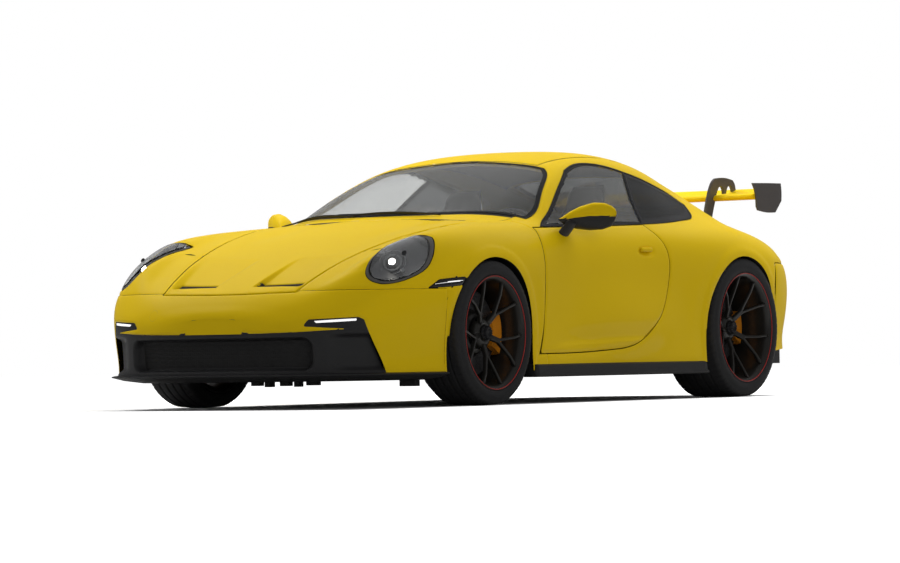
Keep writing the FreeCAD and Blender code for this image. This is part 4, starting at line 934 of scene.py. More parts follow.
nose_field = both_in(narrower(nose_zone, FINE), outside(wider(bonnet)), outside(front_arch),
                     outside(wider(mask)), outside(wider(marker)))
points, quads = cut(nose_field, (0.0, station(375)), (0, V_END), 0.007, roll=SEAM_ROLL)
piece("nose_skin", points, quads, paint, "body", slot="paint")
print("nose", len(quads), "quads")
tail_field = both_in(narrower(tail_zone), outside(rear_arch))
points, quads = cut(tail_field, (station(-2835), U_END), (0, V_END), 0.011, roll=SEAM_ROLL)
piece("tail_skin", points, quads, paint, "body", slot="paint")
cowl_open = both_in(cowl, outside(bonnet), outside(screen))
cowl_band = narrower(screen, -0.030)
band_field, top_field = both_in(cowl_open, cowl_band), both_in(cowl_open, outside(cowl_band))
points, quads = cut(band_field, (station(-370), station(-790)), (8, 56), 0.008, inset=0.003)
piece("cowl_skin", points, quads, black_plastic, "body", replaces="cowl", slot="black_trim")
points, quads = cut(top_field, (station(-330), station(-790)), (8, 56), 0.008, inset=0.001)
piece("cowl_top", points, quads, paint, "body", slot="paint")

# %% [markdown]
# ## What lies behind the panels
# The CAD panels are thick solids, with wheel wells, door frames and buffers on their inner sides. A
# merged copy of each one keeps these, and only its outer face is taken off, because the smooth skin
# takes that face's place. Vertices close to the skin are drawn a few millimetres inwards, so that the
# seams show a dark step behind the gap.

# %% How far a point lies under the skin
TABLE_U, TABLE_A = 520, 721
table_u = np.linspace(0, U_END, TABLE_U)
table_v = np.linspace(0, V_END, 700)
sheet = skin(table_u[:, None], table_v[None, :])
sheet_a = np.arctan2(sheet[..., 1], sheet[..., 2] - SPINE)
sheet_r = np.hypot(sheet[..., 1], sheet[..., 2] - SPINE)
table_a = np.linspace(-pi, pi, TABLE_A)
rising = 1.0 if sheet_a[200, -1] > sheet_a[200, 0] else -1.0
radius_table = np.stack([np.interp(table_a * rising, a * rising, r) for a, r in zip(sheet_a, sheet_r)])
end_a = np.abs(sheet_a[:, [0, -1]]).max(axis=1)


def under_skin(p):
    """Depth of points under the skin, read from a table of radii by station and angle; and if it is there."""
    u = np.interp(-p[:, 0], -sheet[:, 0, 0], np.arange(TABLE_U))
    a = np.arctan2(p[:, 1], p[:, 2] - SPINE)
    k = (a + pi) / (2 * pi) * (TABLE_A - 1)
    i, j = np.minimum(u.astype(int), TABLE_U - 2), np.minimum(k.astype(int), TABLE_A - 2)
    s, t = u - i, k - j
    r = ((1 - s) * ((1 - t) * radius_table[i, j] + t * radius_table[i, j + 1])
         + s * ((1 - t) * radius_table[i + 1, j] + t * radius_table[i + 1, j + 1]))
    return r - np.hypot(p[:, 1], p[:, 2] - SPINE), np.abs(a) < end_a[i] + 0.01


def merged(node):
    """Points and triangles of a CAD node with equal corners joined."""
    source = nodes[node].data
    points = np.empty(len(source.vertices) * 3)
    source.vertices.foreach_get("co", points)
    points = points.reshape(-1, 3)
    source.calc_loop_triangles()
    faces = np.empty(len(source.loop_triangles) * 3, np.int64)
    source.loop_triangles.foreach_get("vertices", faces)
    keys, where = np.unique(np.round(points, 5), axis=0, return_inverse=True)
    faces = where.ravel()[faces].reshape(-1, 3)
    real = (faces[:, 0] != faces[:, 1]) & (faces[:, 1] != faces[:, 2]) & (faces[:, 0] != faces[:, 2])
    placed = np.array(nodes[node].matrix_world)
    return keys @ placed[:3, :3].T + placed[:3, 3], faces[real]


def without_skin(node, depth=0.004):
    """The node's inner faces: triangles that lie on the skin are left out, near points are sunk."""
    points, faces = merged(node)
    gap, there = under_skin(points)
    on_skin = there & (gap < 0.0022)
    corner = points[faces]
    normal = np.cross(corner[:, 1] - corner[:, 0], corner[:, 2] - corner[:, 0])
    normal /= np.linalg.norm(normal, axis=1, keepdims=True) + 1e-12
    middle = corner.mean(axis=1)
    outward = middle - np.stack([middle[:, 0], 0 * middle[:, 0], 0 * middle[:, 0] + SPINE], 1)
    outward /= np.linalg.norm(outward, axis=1, keepdims=True) + 1e-12
    middle_gap = under_skin(middle)[0]
    shell = on_skin[faces].all(axis=1) & ((normal * outward).sum(axis=1) > 0.25) & (middle_gap < 0.004)
    x, y = points[:, 0], abs(points[:, 1])
    by_slot = ease((0.47 - y) / 0.03) * ease((y - 0.05) / 0.03) * ease((SLOT_X + 0.06 - x) / 0.03)
    by_slot = by_slot * ease((x - SLOT_REAR + 0.05) / 0.05) * (points[:, 2] > 0.45)
    need = depth + crown(points) + 0.046 * by_slot
    sink = there & (gap < need)
    toward = np.stack([0 * points[:, 0], points[:, 1], points[:, 2] - SPINE], 1)
    toward /= np.linalg.norm(toward, axis=1, keepdims=True) + 1e-12
    points = points - toward * np.where(sink, need - gap, 0.0)[:, None]
    return points, faces[~shell], normal[~shell], middle[~shell]


def inner_part(node, name, body, zone, materials, slot="paint", leave=None):
    """What is left of a node behind its skin; zone gives each face's material, leave drops a region."""
    points, faces, normal, middle = without_skin(node)
    if leave:
        keep = leave(middle) > 0
        faces, normal, middle = faces[keep], normal[keep], middle[keep]
    used = np.unique(faces)
    renumber = np.zeros(len(points), int)
    renumber[used] = np.arange(len(used))
    holder = piece(name, points[used], renumber[faces], materials, body, smooth=False, replaces=node,
                   slot=slot)
    holder.data.polygons.foreach_set("material_index", zone(middle, normal).astype(np.int32))
    print(name, len(faces), "faces kept")
    return holder


# %% Inner parts
def in_wheel_well(middle, normal):
    """Faces of the wheel wells and the nose are black (1), the others take the darker inner paint, painted
    shade (0).
    """
    near = [np.hypot(middle[:, 0] - x, middle[:, 2] - z) < r + 0.03 for x, z, r in (FRONT_ARCH, REAR_ARCH)]
    return (near[0] | near[1] | (middle[:, 2] < 0.2)).astype(int)


def all_black(middle, normal):
    """Every face takes the second material."""
    return np.ones(len(middle), int)


def door_faces(middle, normal):
    """The door's cabin side is lined (1), its edges take the darker inner paint, painted shade (0)."""
    cabin_side = normal[:, 1] * np.sign(middle[:, 1]) < -0.5
    return cabin_side.astype(int)


by_channel = both_in(beyond(0, SLOT_REAR - 0.05), beyond(0, SLOT_X + 0.06, -1),
                     lambda p: abs(p[..., 1]) - 0.47, beyond(2, 0.50))
for side in ("left", "right"):
    inner_part("side_frame_" + side, "side_inner_" + side, "body", in_wheel_well, [shaded_inner_paint, rough_black])
    inner_part("wing_" + side, "wing_inner_" + side, "body", all_black, [shaded_inner_paint, rough_black],
               leave=by_channel)
    inner_part("door_" + side, "door_inner_" + side, "door_" + side, door_faces, [shaded_inner_paint, cabin_plastic])
inner_part("roof_panel", "roof_lining", "body", all_black, [shaded_inner_paint, cloth])
mouth_zone = both_in(wider(mask, 0.004), beyond(0, AXLE + 0.60))
inner_part("front_bumper", "nose_inner", "body", all_black, [shaded_inner_paint, black_plastic], leave=mouth_zone)
inner_part("front_tub", "luggage_tub", "body", all_black, [shaded_inner_paint, underside], slot="underbody")
inner_part("rear_bumper", "tail_inner", "body", all_black, [shaded_inner_paint, black_plastic])

# %% [markdown]
# ## Nose and tail caps, intake mask and splitter
# The lower mouth is one black moulding: a frame that follows the nose, a mesh set back in the middle and
# two smooth ramps that lead air to the wheels, with a hook at each upper corner that holds a light strip.
# It is cut from the same skin with a depth that grows inside the opening, so its rim stays flush.

# %% Small surface makers
def volume(points, faces):
    """Signed volume of a closed surface, for turning faces outwards."""
    tri = np.concatenate([faces[:, [0, 1, 2]], faces[:, [0, 2, 3]]]) if faces.shape[1] == 4 else faces
    a, b, c = (points[tri[:, k]] - points.mean(0) for k in range(3))
    return (a * np.cross(b, c)).sum() / 6


def facing_out(points, faces):
    return (points, faces) if volume(points, faces) > 0 else (points, faces[:, ::-1])


def grid_faces(rows, columns, wrap_rows=False, wrap_columns=False):
    """Quads of a grid of points, closed round where asked."""
    i = np.arange(rows if wrap_rows else rows - 1)[:, None]
    j = np.arange(columns if wrap_columns else columns - 1)[None, :]
    p, q = (i + 1) % rows, (j + 1) % columns
    return np.stack(np.broadcast_arrays(i * columns + j, p * columns + j, p * columns + q, i * columns + q),
                    -1).reshape(-1, 4)


def turned(profile, centre, side=1.0, around=96):
    """Closed profile (radius, distance outwards) turned about a line along Y through centre."""
    r, w = np.asarray(profile, float).T
    a = np.arange(around) * 2 * pi / around
    points = np.stack([centre[0] + r * np.sin(a[:, None]), centre[1] + side * w + 0 * a[:, None],
                       centre[2] + r * np.cos(a[:, None])], -1).reshape(-1, 3)
    return facing_out(points, grid_faces(around, len(r), True, True))


def swept(rings):
    """Closed tube through rings of points, both ends shut by rings drawn in to their middles."""
    rings = np.asarray(rings, float)
    first, last = rings[:1].mean(1, keepdims=True), rings[-1:].mean(1, keepdims=True)
    whole = np.concatenate([first + (rings[:1] - first) * 0.01, rings, last + (rings[-1:] - last) * 0.01])
    count = whole.shape[1]
    faces = grid_faces(len(whole), count, False, True)
    return facing_out(whole.reshape(-1, 3), faces)


def join(parts):
    """Several point and face sets as one."""
    points, faces, start = [], [], 0
    for p, f in parts:
        points.append(p)
        faces.append(np.asarray(f) + start)
        start += len(p)
    return np.concatenate(points), np.concatenate(faces)


def cap(u, v_span, count, out):
    """A flat sheet that shuts an end of the skin: straight lines from the right edge to the left."""
    v = np.linspace(*v_span, count)[:, None]
    t = np.linspace(0, 1, 24)[None, :]
    a, b = skin(u, v), skin(u, V_END - v)
    points = a + (b - a) * t[..., None]
    middle = points.mean(axis=(0, 1))
    points[..., 1:] = middle[1:] + (points[..., 1:] - middle[1:]) * 1.02
    points[..., 0] -= out * 0.0004
    faces = grid_faces(count, 24)
    p = points.reshape(-1, 3)
    n = np.cross(p[faces[5, 1]] - p[faces[5, 0]], p[faces[5, 3]] - p[faces[5, 0]])
    return p, faces if n[0] * out > 0 else faces[:, ::-1]


# %% Caps, light strips, mask
ring_z = skin(0, np.linspace(0, V_MID, 300))[:, 2]
cap_from = float(np.interp(0.352, ring_z, np.linspace(0, V_MID, 300)))
piece("nose_cap", *cap(0.0, (cap_from, V_MID - 0.05), 20, 1), paint, "body", slot="paint")
piece("tail_cap", *cap(U_END, (0.0, V_MID - 0.05), 30, -1), paint, "body", slot="paint")


MOUTH_HALF, MOUTH_MID, MOUTH_RISE = 0.502, 0.254, 0.070


def mouth(p, rim=0.016):
    """How deep the mask is: the mesh field is set back, and the ramps fall away outside its frame."""
    y, z = abs(p[..., 1]), p[..., 2]
    corner = 0.040
    dy, dz = y - (MOUTH_HALF - corner), abs(z - MOUTH_MID) - (MOUTH_RISE - corner)
    edge = np.hypot(np.maximum(dy, 0), np.maximum(dz, 0)) + np.minimum(np.maximum(dy, dz), 0) - corner
    ramp = ease((y - 0.545) / 0.12) * ease((z - 0.170) / 0.03) * ease((0.352 - z) / 0.03)
    return 0.052 * ease(0.5 - edge / rim) + 0.026 * ramp


def nose_path(z, count, y_end=0.885):
    """Plan line of the nose at a height, from the right side round the front to the left."""
    v = np.linspace(V_MID, V_END, 400)
    u = np.linspace(0.0, station(380), 300)
    s = skin(u[:, None], v[None, :])
    order = np.argsort(s[..., 2], axis=1)
    x = s[:, 0, 0]
    y = np.array([np.interp(z, row[k, 2], row[k, 1]) for row, k in zip(s, order)])
    x, y = x[y < y_end], y[y < y_end]
    line = np.concatenate([np.stack([x, -y], 1)[::-1], np.stack([x, y], 1)])
    t = np.concatenate([[0], np.cumsum(np.linalg.norm(np.diff(line, axis=0), axis=1))])
    q = np.linspace(0, t[-1], count)
    return np.stack([np.interp(q, t, line[:, 0]), np.interp(q, t, line[:, 1])], 1)


shield_z = np.linspace(0.150, 0.440, 40)
shield_net = np.stack([np.column_stack([nose_path(z, 161, 0.80), np.full(161, z)]) for z in shield_z])


def shield(u, v):
    """The nose run straight on down to the splitter: plan lines at 40 heights as spline controls."""
    u, v = np.broadcast_arrays(np.asarray(u, float), np.asarray(v, float))
    i, wu = basis(40, np.clip(u / U_END * 37, 0, 37))
    j, wv = basis(161, np.clip(v / V_END * 158, 0, 158))
    return sum((wu[a] * wv[b])[..., None] * shield_net[i + a, j + b] for a in range(4) for b in range(4))


mask_skin = both_in(narrower(mask, -0.004), beyond(2, 0.158))
points, quads = cut(mask_skin, (0.3, U_END - 0.3), (0.3, V_END - 0.3), 0.006, inset=0.003, relief=mouth,
                    base=shield)
piece("mask_skin", points, quads, black_plastic, "body", replaces="intake_mask", slot="black_trim")
mesh_field = both_in(lambda p: abs(p[..., 1]) - 0.487, beyond(2, 0.199), beyond(2, 0.318, -1))


def weave(p):
    """A fine hexagonal mesh as shallow pits in offset rows."""
    y, z = p[..., 1], p[..., 2]
    row = np.floor(z / 0.0085)
    across = y / 0.0098 + 0.5 * (row % 2)
    pit = np.hypot(across - np.round(across), (z / 0.0085 - row - 0.5) * 0.87)
    return 0.004 * ease((0.46 - pit) / 0.12)


points, quads = cut(mesh_field, (2.0, U_END - 2.0), (2.0, V_END - 2.0), 0.0035, inset=0.050, relief=weave,
                    base=shield)
piece("mouth_mesh", points, quads, mesh_black, "body", slot="black_trim")
print("mask and mesh", len(quads), "quads in the mesh")
strip_runs = [[(528, 397), (600, 400), (682, 405)], [(682, 405), (686, 415)],
              [(686, 415), (600, 411), (518, 406)], [(518, 406), (528, 397)]]
strip = both_in(both_sides(outline(FRONT, strip_runs)), beyond(0, AXLE + 0.6))
half_panel("light_strip", strip, (985, 680), 0.005, BODY, material=lamp_and_highlight_glow, inset=0.0015, roll=0.001)

# %% Splitter
edge_line = nose_path(0.19, 220)
tangent = np.gradient(edge_line, axis=0)
tangent /= np.linalg.norm(tangent, axis=1, keepdims=True)
away = np.stack([tangent[:, 1], -tangent[:, 0]], 1)
away *= np.sign((away * (edge_line - (AXLE + 0.3, 0))).sum(1))[:, None]
LIP = [(-0.070, 0.170), (0.000, 0.166), (0.020, 0.163), (0.0275, 0.161), (0.030, 0.158), (0.0275, 0.155),
       (0.015, 0.152), (-0.030, 0.140), (-0.120, 0.128), (-0.125, 0.150)]
sections = [np.stack([a[0] + away[k, 0] * np.array([o for o, _ in LIP]),
                      a[1] + away[k, 1] * np.array([o for o, _ in LIP]),
                      np.array([z for _, z in LIP])], 1) for k, a in enumerate(edge_line)]
piece("splitter_lip", *swept(sections), black_plastic, "body", replaces="splitter", slot="black_trim")
print("splitter reaches x", max(s[:, 0].max() for s in sections).round(3))

# %% [markdown]
# ## Glass
# Each pane is cut from the skin a hair below the paint and given a real thickness, so it bends light
# twice as glass does. A black printed band hides the glue at its edge, and a rubber line runs round it.
# A single dark sheet would be simpler, but then the pale view through the cabin would be lost.

# %% Panes
door_pane_runs = [pane_front, pane_top, divider, pane_belt]
rear_pane_runs = [rear_pane_top, rear_pane_foot, divider[::-1]]
door_pane = outline(SIDE, door_pane_runs)
quarter_pane = outline(SIDE, rear_pane_runs)


def pane(name, field, span, v_span, band, bodies, replaces, tint=glass_tint, cell=0.018, mirrored=False):
    """A glass pane with its printed band and rubber line, on one side or on both."""
    us = (station(span[0]), station(span[1]))
    glass = cut(narrower(field, 0.003), us, v_span, cell, inset=0.003)
    ring = both_in(narrower(field, 0.0032), outside(narrower(field, band)))
    printed = cut(ring, us, v_span, 0.007, inset=0.0022)
    rubber_line = cut(both_in(field, outside(narrower(field, 0.0065))), us, v_span, 0.0045, inset=0.0006)
    made = []
    sides = (("_left", 1), ("_right", -1)) if mirrored else (("", 1),)
    for (side, sign), body in zip(sides, bodies):
        def turn_over(shape):
            return shape if sign > 0 else mirror_mesh(*shape)
        node = replaces + side if mirrored and replaces == "door_glass" else replaces
        sheet = piece(name + side, *turn_over(glass), tint, body, replaces=node, slot="tinted_glass")
        thicken(sheet, 0.0035)
        made.append(sheet)
        piece(name + "_band" + side, *turn_over(printed), black_gloss, body, slot="tinted_glass")
        piece(name + "_rubber" + side, *turn_over(rubber_line), black_plastic, body, slot="tinted_glass")
    print(name, len(glass[1]), "quads")
    return made


# Painted shade: the rear screen and quarter panes pass only a tenth of the light, far less than the
# windscreen and doors, so they stay dark like the shaded space behind them.
painted_shade_tint = finish("painted_shade_glass", (0.10, 0.103, 0.105), 0.02, grain=6.0, stain=0.02,
                   Transmission_Weight=1.0, IOR=1.45)
clear_tint = finish("screen_glass", (0.86, 0.87, 0.865), 0.02, grain=6.0, stain=0.02,
                    Transmission_Weight=1.0, IOR=1.45)
pane("windscreen", screen, (-530, -1230), (4, 60), 0.022, ("body",), "fixed_glass", tint=clear_tint)
pane("rear_screen", rear_screen, (-2280, -2850), (8, 56), 0.030, ("body",), "fixed_glass", tint=painted_shade_tint)
pane("door_pane", door_pane, (-630, -1800), (V_MID, V_END), 0.014, DOORS, "door_glass", mirrored=True)
pane("quarter_pane", quarter_pane, (-1600, -2360), (V_MID, V_END), 0.030, BODY, "fixed_glass", tint=painted_shade_tint,
     mirrored=True)

# %% [markdown]
# ## Lamps
# A headlamp is a smoked bowl under a clear cover, with a projector in its middle and four small cells
# round it. The bowl and the cover are the same cut of the skin, one sunk by a bowl-shaped depth and one
# a little proud. The side marker is dark, with a painted highlight on it: a pale glowing streak that
# stands for a reflection on its lens.

# %% Headlamps
LAMP_MID = (0.722, 0.692)


def lamp_depth(p):
    """Bowl depth: greatest at the lamp's middle, nothing at its rim."""
    d = np.hypot((p[..., 1] - LAMP_MID[0]), (p[..., 2] - LAMP_MID[1])) / 0.118
    return 0.050 * (1 - np.clip(d, 0, 1) ** 2.2)


def dome(p):
    d = np.hypot((p[..., 1] - LAMP_MID[0]), (p[..., 2] - LAMP_MID[1])) / 0.125
    return -0.008 * (1 - np.clip(d, 0, 1) ** 2)


lamp_span = (860, 320)
bezel = both_in(headlamp, outside(narrower(headlamp, 0.011)))
bezel_grey = finish("lamp_bezel", (0.15, 0.145, 0.14), 0.3, 0.4, grain=300.0, bump=0.02, stain=0.06)
half_panel("lamp_bezel", bezel, lamp_span, 0.0045, BODY, material=bezel_grey, inset=-0.0005, roll=0.002)
bowls = cut(narrower(headlamp, 0.009), (station(lamp_span[0]), station(lamp_span[1])), (V_MID, V_END), 0.007,
            inset=0.004, relief=lamp_depth)
for holder in pair("lamp_bowl", bowls, dark_chrome, BODY, slot="lamp_metal"):
    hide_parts("lamp_cups")
cover = cut(narrower(headlamp, 0.010), (station(lamp_span[0]), station(lamp_span[1])), (V_MID, V_END), 0.009,
            inset=0.0, relief=dome)
for holder in pair("lamp_cover", cover, lamp_glass, BODY, slot="lamp_glass"):
    thicken(holder, 0.003)
    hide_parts("lamp_lenses")
cell_u, cell_v = np.meshgrid(np.linspace(station(860), station(320), 260), np.linspace(V_MID, V_END, 260))
spots = skin(cell_u.ravel(), cell_v.ravel())
nearest = int(np.argmin(np.hypot(spots[:, 1] - LAMP_MID[0], spots[:, 2] - LAMP_MID[1])))
lamp_place = spots[nearest]
lamp_out = skin_normal(cell_u.ravel()[nearest], cell_v.ravel()[nearest]) * facing
aim_out = lamp_out + np.array([0.9, 0.0, 0.0])
aim_out /= np.linalg.norm(aim_out)
level_out = np.cross((0, 0, 1), aim_out)
level_out /= np.linalg.norm(level_out)
up_out = np.cross(aim_out, level_out)


def lamp_ring(centre, radius, tube, around=56, section=14):
    """A torus about the lamp's axis."""
    a = np.arange(around)[:, None] * 2 * pi / around
    b = np.arange(section)[None, :] * 2 * pi / section
    r = radius + tube * np.cos(b)
    p = (centre + level_out * (r * np.cos(a))[..., None] + up_out * (r * np.sin(a))[..., None]
         + aim_out * (tube * np.sin(b) + 0 * a)[..., None])
    return facing_out(p.reshape(-1, 3), grid_faces(around, section, True, True))


def lamp_ball(centre, radius, flat=0.6, around=36, rows=18):
    """A flattened ball: rows from pole to pole about the lamp's axis."""
    a = np.arange(around)[None, :] * 2 * pi / around
    b = np.linspace(0.01, pi - 0.01, rows)[:, None]
    p = (centre + level_out * (radius * np.sin(b) * np.cos(a))[..., None]
         + up_out * (radius * np.sin(b) * np.sin(a))[..., None]
         + aim_out * (flat * radius * np.cos(b) + 0 * a)[..., None])
    return facing_out(p.reshape(-1, 3), grid_faces(rows, around, False, True))


middle = lamp_place - lamp_out * 0.034
rings = [lamp_ring(middle, 0.040, 0.007), lamp_ring(middle + aim_out * 0.004, 0.062, 0.003)]
pair("lamp_rings", join(rings), chrome, BODY, slot="lamp_metal")
pair("lamp_projector", lamp_ball(middle - aim_out * 0.004, 0.034), black_gloss, BODY, slot="lamp_metal")
pair("lamp_core", lamp_ball(middle + aim_out * 0.014, 0.016), light_core, BODY, slot="lamp_metal")
cells = [middle + aim_out * 0.008 + level_out * a + up_out * b
         for a, b in ((0.052, 0.050), (-0.052, 0.050), (0.052, -0.046), (-0.052, -0.046))]
pair("lamp_cells", join([lamp_ball(c, 0.012) for c in cells]), chrome, BODY, slot="lamp_metal")
half_panel("marker_case", both_in(marker, beyond(0, AXLE + 0.18)), (520, 200), 0.006, BODY,
           material=black_gloss, inset=0.0015, roll=0.0015)
# Painted highlight: a pale glowing streak across the dark marker stands for a reflection on its lens.
painted_highlight = outline(SIDE, [[(462, 571), (330, 588), (262, 592)], [(262, 592), (268, 582)],
                        [(268, 582), (340, 577), (462, 566)], [(462, 566), (462, 571)]])
half_panel("marker_streak", painted_highlight, (470, 255), 0.004, BODY, material=lamp_and_highlight_glow, inset=0.0008)
strip_field = narrower(tail_strip, 0.002)
points, quads = cut(strip_field, (station(-2985), station(-3500)), (0, V_END), 0.006, inset=0.001, roll=0.002)
piece("tail_lamp_skin", points, quads, tail_red, "body", replaces="tail_lamp", slot="tail_red")

# %% [markdown]
# ## Wheels
# A tyre is its cross-section turned round the axle, with the tread worked in as a depth on a fine grid:
# four grooves all the way round and slanting cuts on the shoulders. The rim has a turned barrel and five
# forked spokes, each a square bar swept from the sunken hub to the flange, with a narrow bright bevel on
# its edges. The far wheels are the same pieces mirrored, so the cuts point forward on both sides.

# %% Tyres
def tyre_surface(radius, width, seat, around=288):
    """Grid of radius and offset: an arc for each wall, a crowned tread, and grooves taken from the radius."""
    half, flange = width / 2, seat + 0.017
    t = np.linspace(0, 1, 9)
    bulge = np.sin(pi * t) * 0.0085
    wall_r = flange + 0.001 + (radius - 0.024 - flange) * t
    wall_w = half - 0.009 + bulge + 0.0012 * np.exp(-((t - 0.12) / 0.05) ** 2)
    s = np.linspace(0, pi / 2, 7)[1:]
    shoulder_r = radius - 0.024 + 0.0205 * np.sin(s)
    shoulder_w = half - 0.009 - 0.021 * (1 - np.cos(s))
    crown_w = np.linspace(half - 0.031, -half + 0.031, 62)[1:-1]
    crown_r = radius - 0.0035 * (crown_w / (half - 0.031)) ** 2
    bore = np.array([(flange + 0.001, half - 0.012), (seat + 0.002, half - 0.022),
                     (seat + 0.002, -half + 0.022), (flange + 0.001, -half + 0.012)])[::-1]
    r = np.concatenate([wall_r, shoulder_r, crown_r, shoulder_r[::-1], wall_r[::-1], bore[:, 0]])
    w = np.concatenate([wall_w, shoulder_w, crown_w, -shoulder_w[::-1], -wall_w[::-1], bore[:, 1]])
    a = np.arange(around)[:, None] * 2 * pi / around
    groove = sum(1 - ease((abs(w - g * width) - 0.0035) / 0.002) for g in (-0.24, -0.08, 0.08, 0.24))
    lane = np.clip(1 - ease((abs(w) - half + 0.012) / 0.004), 0, 1) * ease((abs(w) - 0.29 * width) / 0.004)
    pitch = a * 64 / (2 * pi) + w * 9
    cut_in = lane * (1 - ease((abs((pitch + 0.5) % 1 - 0.5) - 0.06) / 0.09))
    fine = (abs(w) < 0.22 * width) * (1 - ease((abs((pitch * 0.5 + 0.25) % 1 - 0.5) - 0.03) / 0.05))
    depth = 0.006 * np.minimum(groove, 1) + 0.004 * cut_in * (groove < 0.5) + 0.002 * fine * (groove < 0.5)
    depth = np.where(r > radius - 0.02, depth, 0.0)
    return a, r - depth, w + 0 * a


def tyre(name, node, centre, side, radius, width, seat, body):
    a, r, w = tyre_surface(radius, width, seat)
    points = np.stack([centre[0] + side * r * np.sin(a), centre[1] + side * w, centre[2] + r * np.cos(a)], -1)
    made = facing_out(points.reshape(-1, 3), grid_faces(*r.shape, True, True))
    return piece(name, *made, rubber, body, replaces=node, slot="tyre")


# %% Rims
SPOKES, FORK = 5, 0.43


def spoke(sections, edge=0.2):
    """A bevelled square bar through (centre, across, through) sections, eight points round."""
    k = 1 - edge
    corners = [(1, k), (k, 1), (-k, 1), (-1, k), (-1, -k), (-k, -1), (k, -1), (1, -k)]
    c = np.array([s[0] for s in sections])
    t = np.linspace(0, 1, len(sections))
    q = np.linspace(0, 1, 18)

    def drawn_through(values):
        return np.stack([np.interp(q, t, values[:, i]) for i in range(3)], 1)

    centre, across, through = (drawn_through(np.array([s[i] for s in sections])) for i in range(3))
    rings = np.stack([centre + x * across + z * through for x, z in corners], 1)
    return swept(rings)


def forked_spokes(radius, face, outer, phase):
    """Five stems from the hub that split in two and climb to the flange."""
    bars = []
    for i in range(SPOKES):
        root = pi + phase + 2 * pi * i / SPOKES
        for lean in (-1, 1):
            def at(r, a, w):
                return np.array([r * np.sin(a), w, r * np.cos(a)])

            def over(a, size):
                return np.array([size * np.cos(a), 0, -size * np.sin(a)])

            tip = root + lean * pi / SPOKES / 2
            stem = root + lean * 0.045
            up = np.array([0.0, 1.0, 0.0])
            fork_w = face + 0.30 * (outer - face)
            past_fork = at((FORK + 0.04) * radius, stem + lean * 0.035, fork_w - 0.004)
            climb = at(0.78 * radius, 0.27 * stem + 0.73 * tip, 0.55 * outer + 0.45 * fork_w)
            bars.append(spoke([
                (at(0.050, stem, face - 0.012), over(stem, 0.011), up * 0.012),
                (at(FORK * radius, stem, fork_w - 0.006), over(stem, 0.0075), up * 0.010),
                (past_fork, over(stem, 0.0075), up * 0.010),
                (climb, over(tip, 0.0060), up * 0.0085),
                (at(radius - 0.004, tip, outer - 0.008), over(tip, 0.0075), up * 0.0075)]))
    return join(bars)


def rim_set(end, side_name, side, centre, width, seat, hub_depth, phase, body):
    """Barrel, hub and spokes as one skin, then the red line and the centre-lock nut; gives the hub's face."""
    half, flange = width / 2 - 0.007, seat + 0.017
    face, outer = half - hub_depth, half - 0.012
    place = "_".join((end, side_name))
    profile = [(flange, half - 0.001), (flange - 0.001, half), (flange - 0.004, half + 0.0005),
               (flange - 0.007, half - 0.002), (seat + 0.004, half - 0.006), (seat - 0.003, half - 0.011),
               (seat - 0.009, half - 0.030), (seat - 0.013, half - 0.050), (seat - 0.015, 0.0),
               (seat - 0.010, 0.010 - half), (flange - 0.004, -half), (flange, -half),
               (flange, 0.008 - half), (seat, 0.013 - half), (seat, half - 0.013), (flange, half - 0.008)]
    barrel = turned(profile, (0, 0, 0), 1.0, 160)
    hub = turned([(0.030, face - 0.040), (0.076, face - 0.040), (0.072, face - 0.010), (0.060, face - 0.004),
                  (0.052, face), (0.034, face)], (0, 0, 0), 1.0, 72)
    made = join([barrel, hub, forked_spokes(seat, face, outer, phase)])

    def put(shape):
        p = shape[0] * (side, side, 1) + centre
        return p, shape[1]

    piece("rim_skin_" + place, *put(made), rim_black, body, replaces="rim_" + place, slot="rim_black")
    ring = turned([(flange - 0.0035, half + 0.0018), (flange - 0.0062, half + 0.0012),
                   (flange - 0.0068, half - 0.0014), (flange - 0.0030, half - 0.0010)], (0, 0, 0), 1.0, 160)
    piece("rim_line_" + place, *put(ring), rim_line, body, slot="rim_black")
    a = np.arange(48) * 2 * pi / 48
    nut_r = 0.031 + 0.0022 * np.sign(np.sin(a * 12))
    nut = ((0.036, -0.002), (0.036, 0.004), (nut_r, 0.006), (nut_r, 0.022), (nut_r - 0.004, 0.026),
           (0.020, 0.026), (0.018, 0.021))
    rings = [np.stack([r * np.cos(a), face + w + 0 * a, r * np.sin(a)], 1) for r, w in nut]
    piece("centre_lock_" + place, *put(swept(rings)), dark_chrome, body, slot="rim_black")
    return face


def brake_set(end, side_name, side, centre, radius, disc_y, body):
    """A drilled disc on a dark bell; the holes are shallow dimples on a fine grid."""
    place = "_".join((end, side_name))
    a = np.arange(240)[:, None] * 2 * pi / 240
    r = np.concatenate([np.linspace(radius, 0.118, 26), [0.112, 0.112], np.linspace(0.118, radius, 12)])
    w = np.concatenate([np.full(26, 0.017), [0.017, -0.017], np.full(12, -0.017)])
    turn_in = a * 24 / (2 * pi) + r * 14
    hole = np.hypot((((turn_in) % 1) - 0.5) * 2 * pi * r / 24, ((r - 0.128) % 0.016) - 0.008)
    depth = 0.006 * (1 - ease((hole - 0.0028) / 0.001)) * (w > 0) * (r < radius - 0.003)
    p = np.stack([r * np.sin(a), w - depth, r * np.cos(a)], -1).reshape(-1, 3)
    disc = facing_out(p, grid_faces(240, len(r), True, True))
    seat_point = (centre[0], side * disc_y, centre[2])
    piece("disc_ring_" + place, disc[0] * (side, side, 1) + seat_point, disc[1], iron, body,
          replaces="disc_" + place, slot="disc_iron")
    bell = turned([(0.033, 0.049), (0.092, 0.049), (0.098, 0.044), (0.112, 0.016), (0.112, -0.004),
                   (0.095, 0.006), (0.090, 0.040), (0.033, 0.040)], (0, 0, 0), 1.0, 72)
    piece("disc_bell_" + place, bell[0] * (side, side, 1) + seat_point, bell[1], rim_black, body,
          slot="disc_iron")


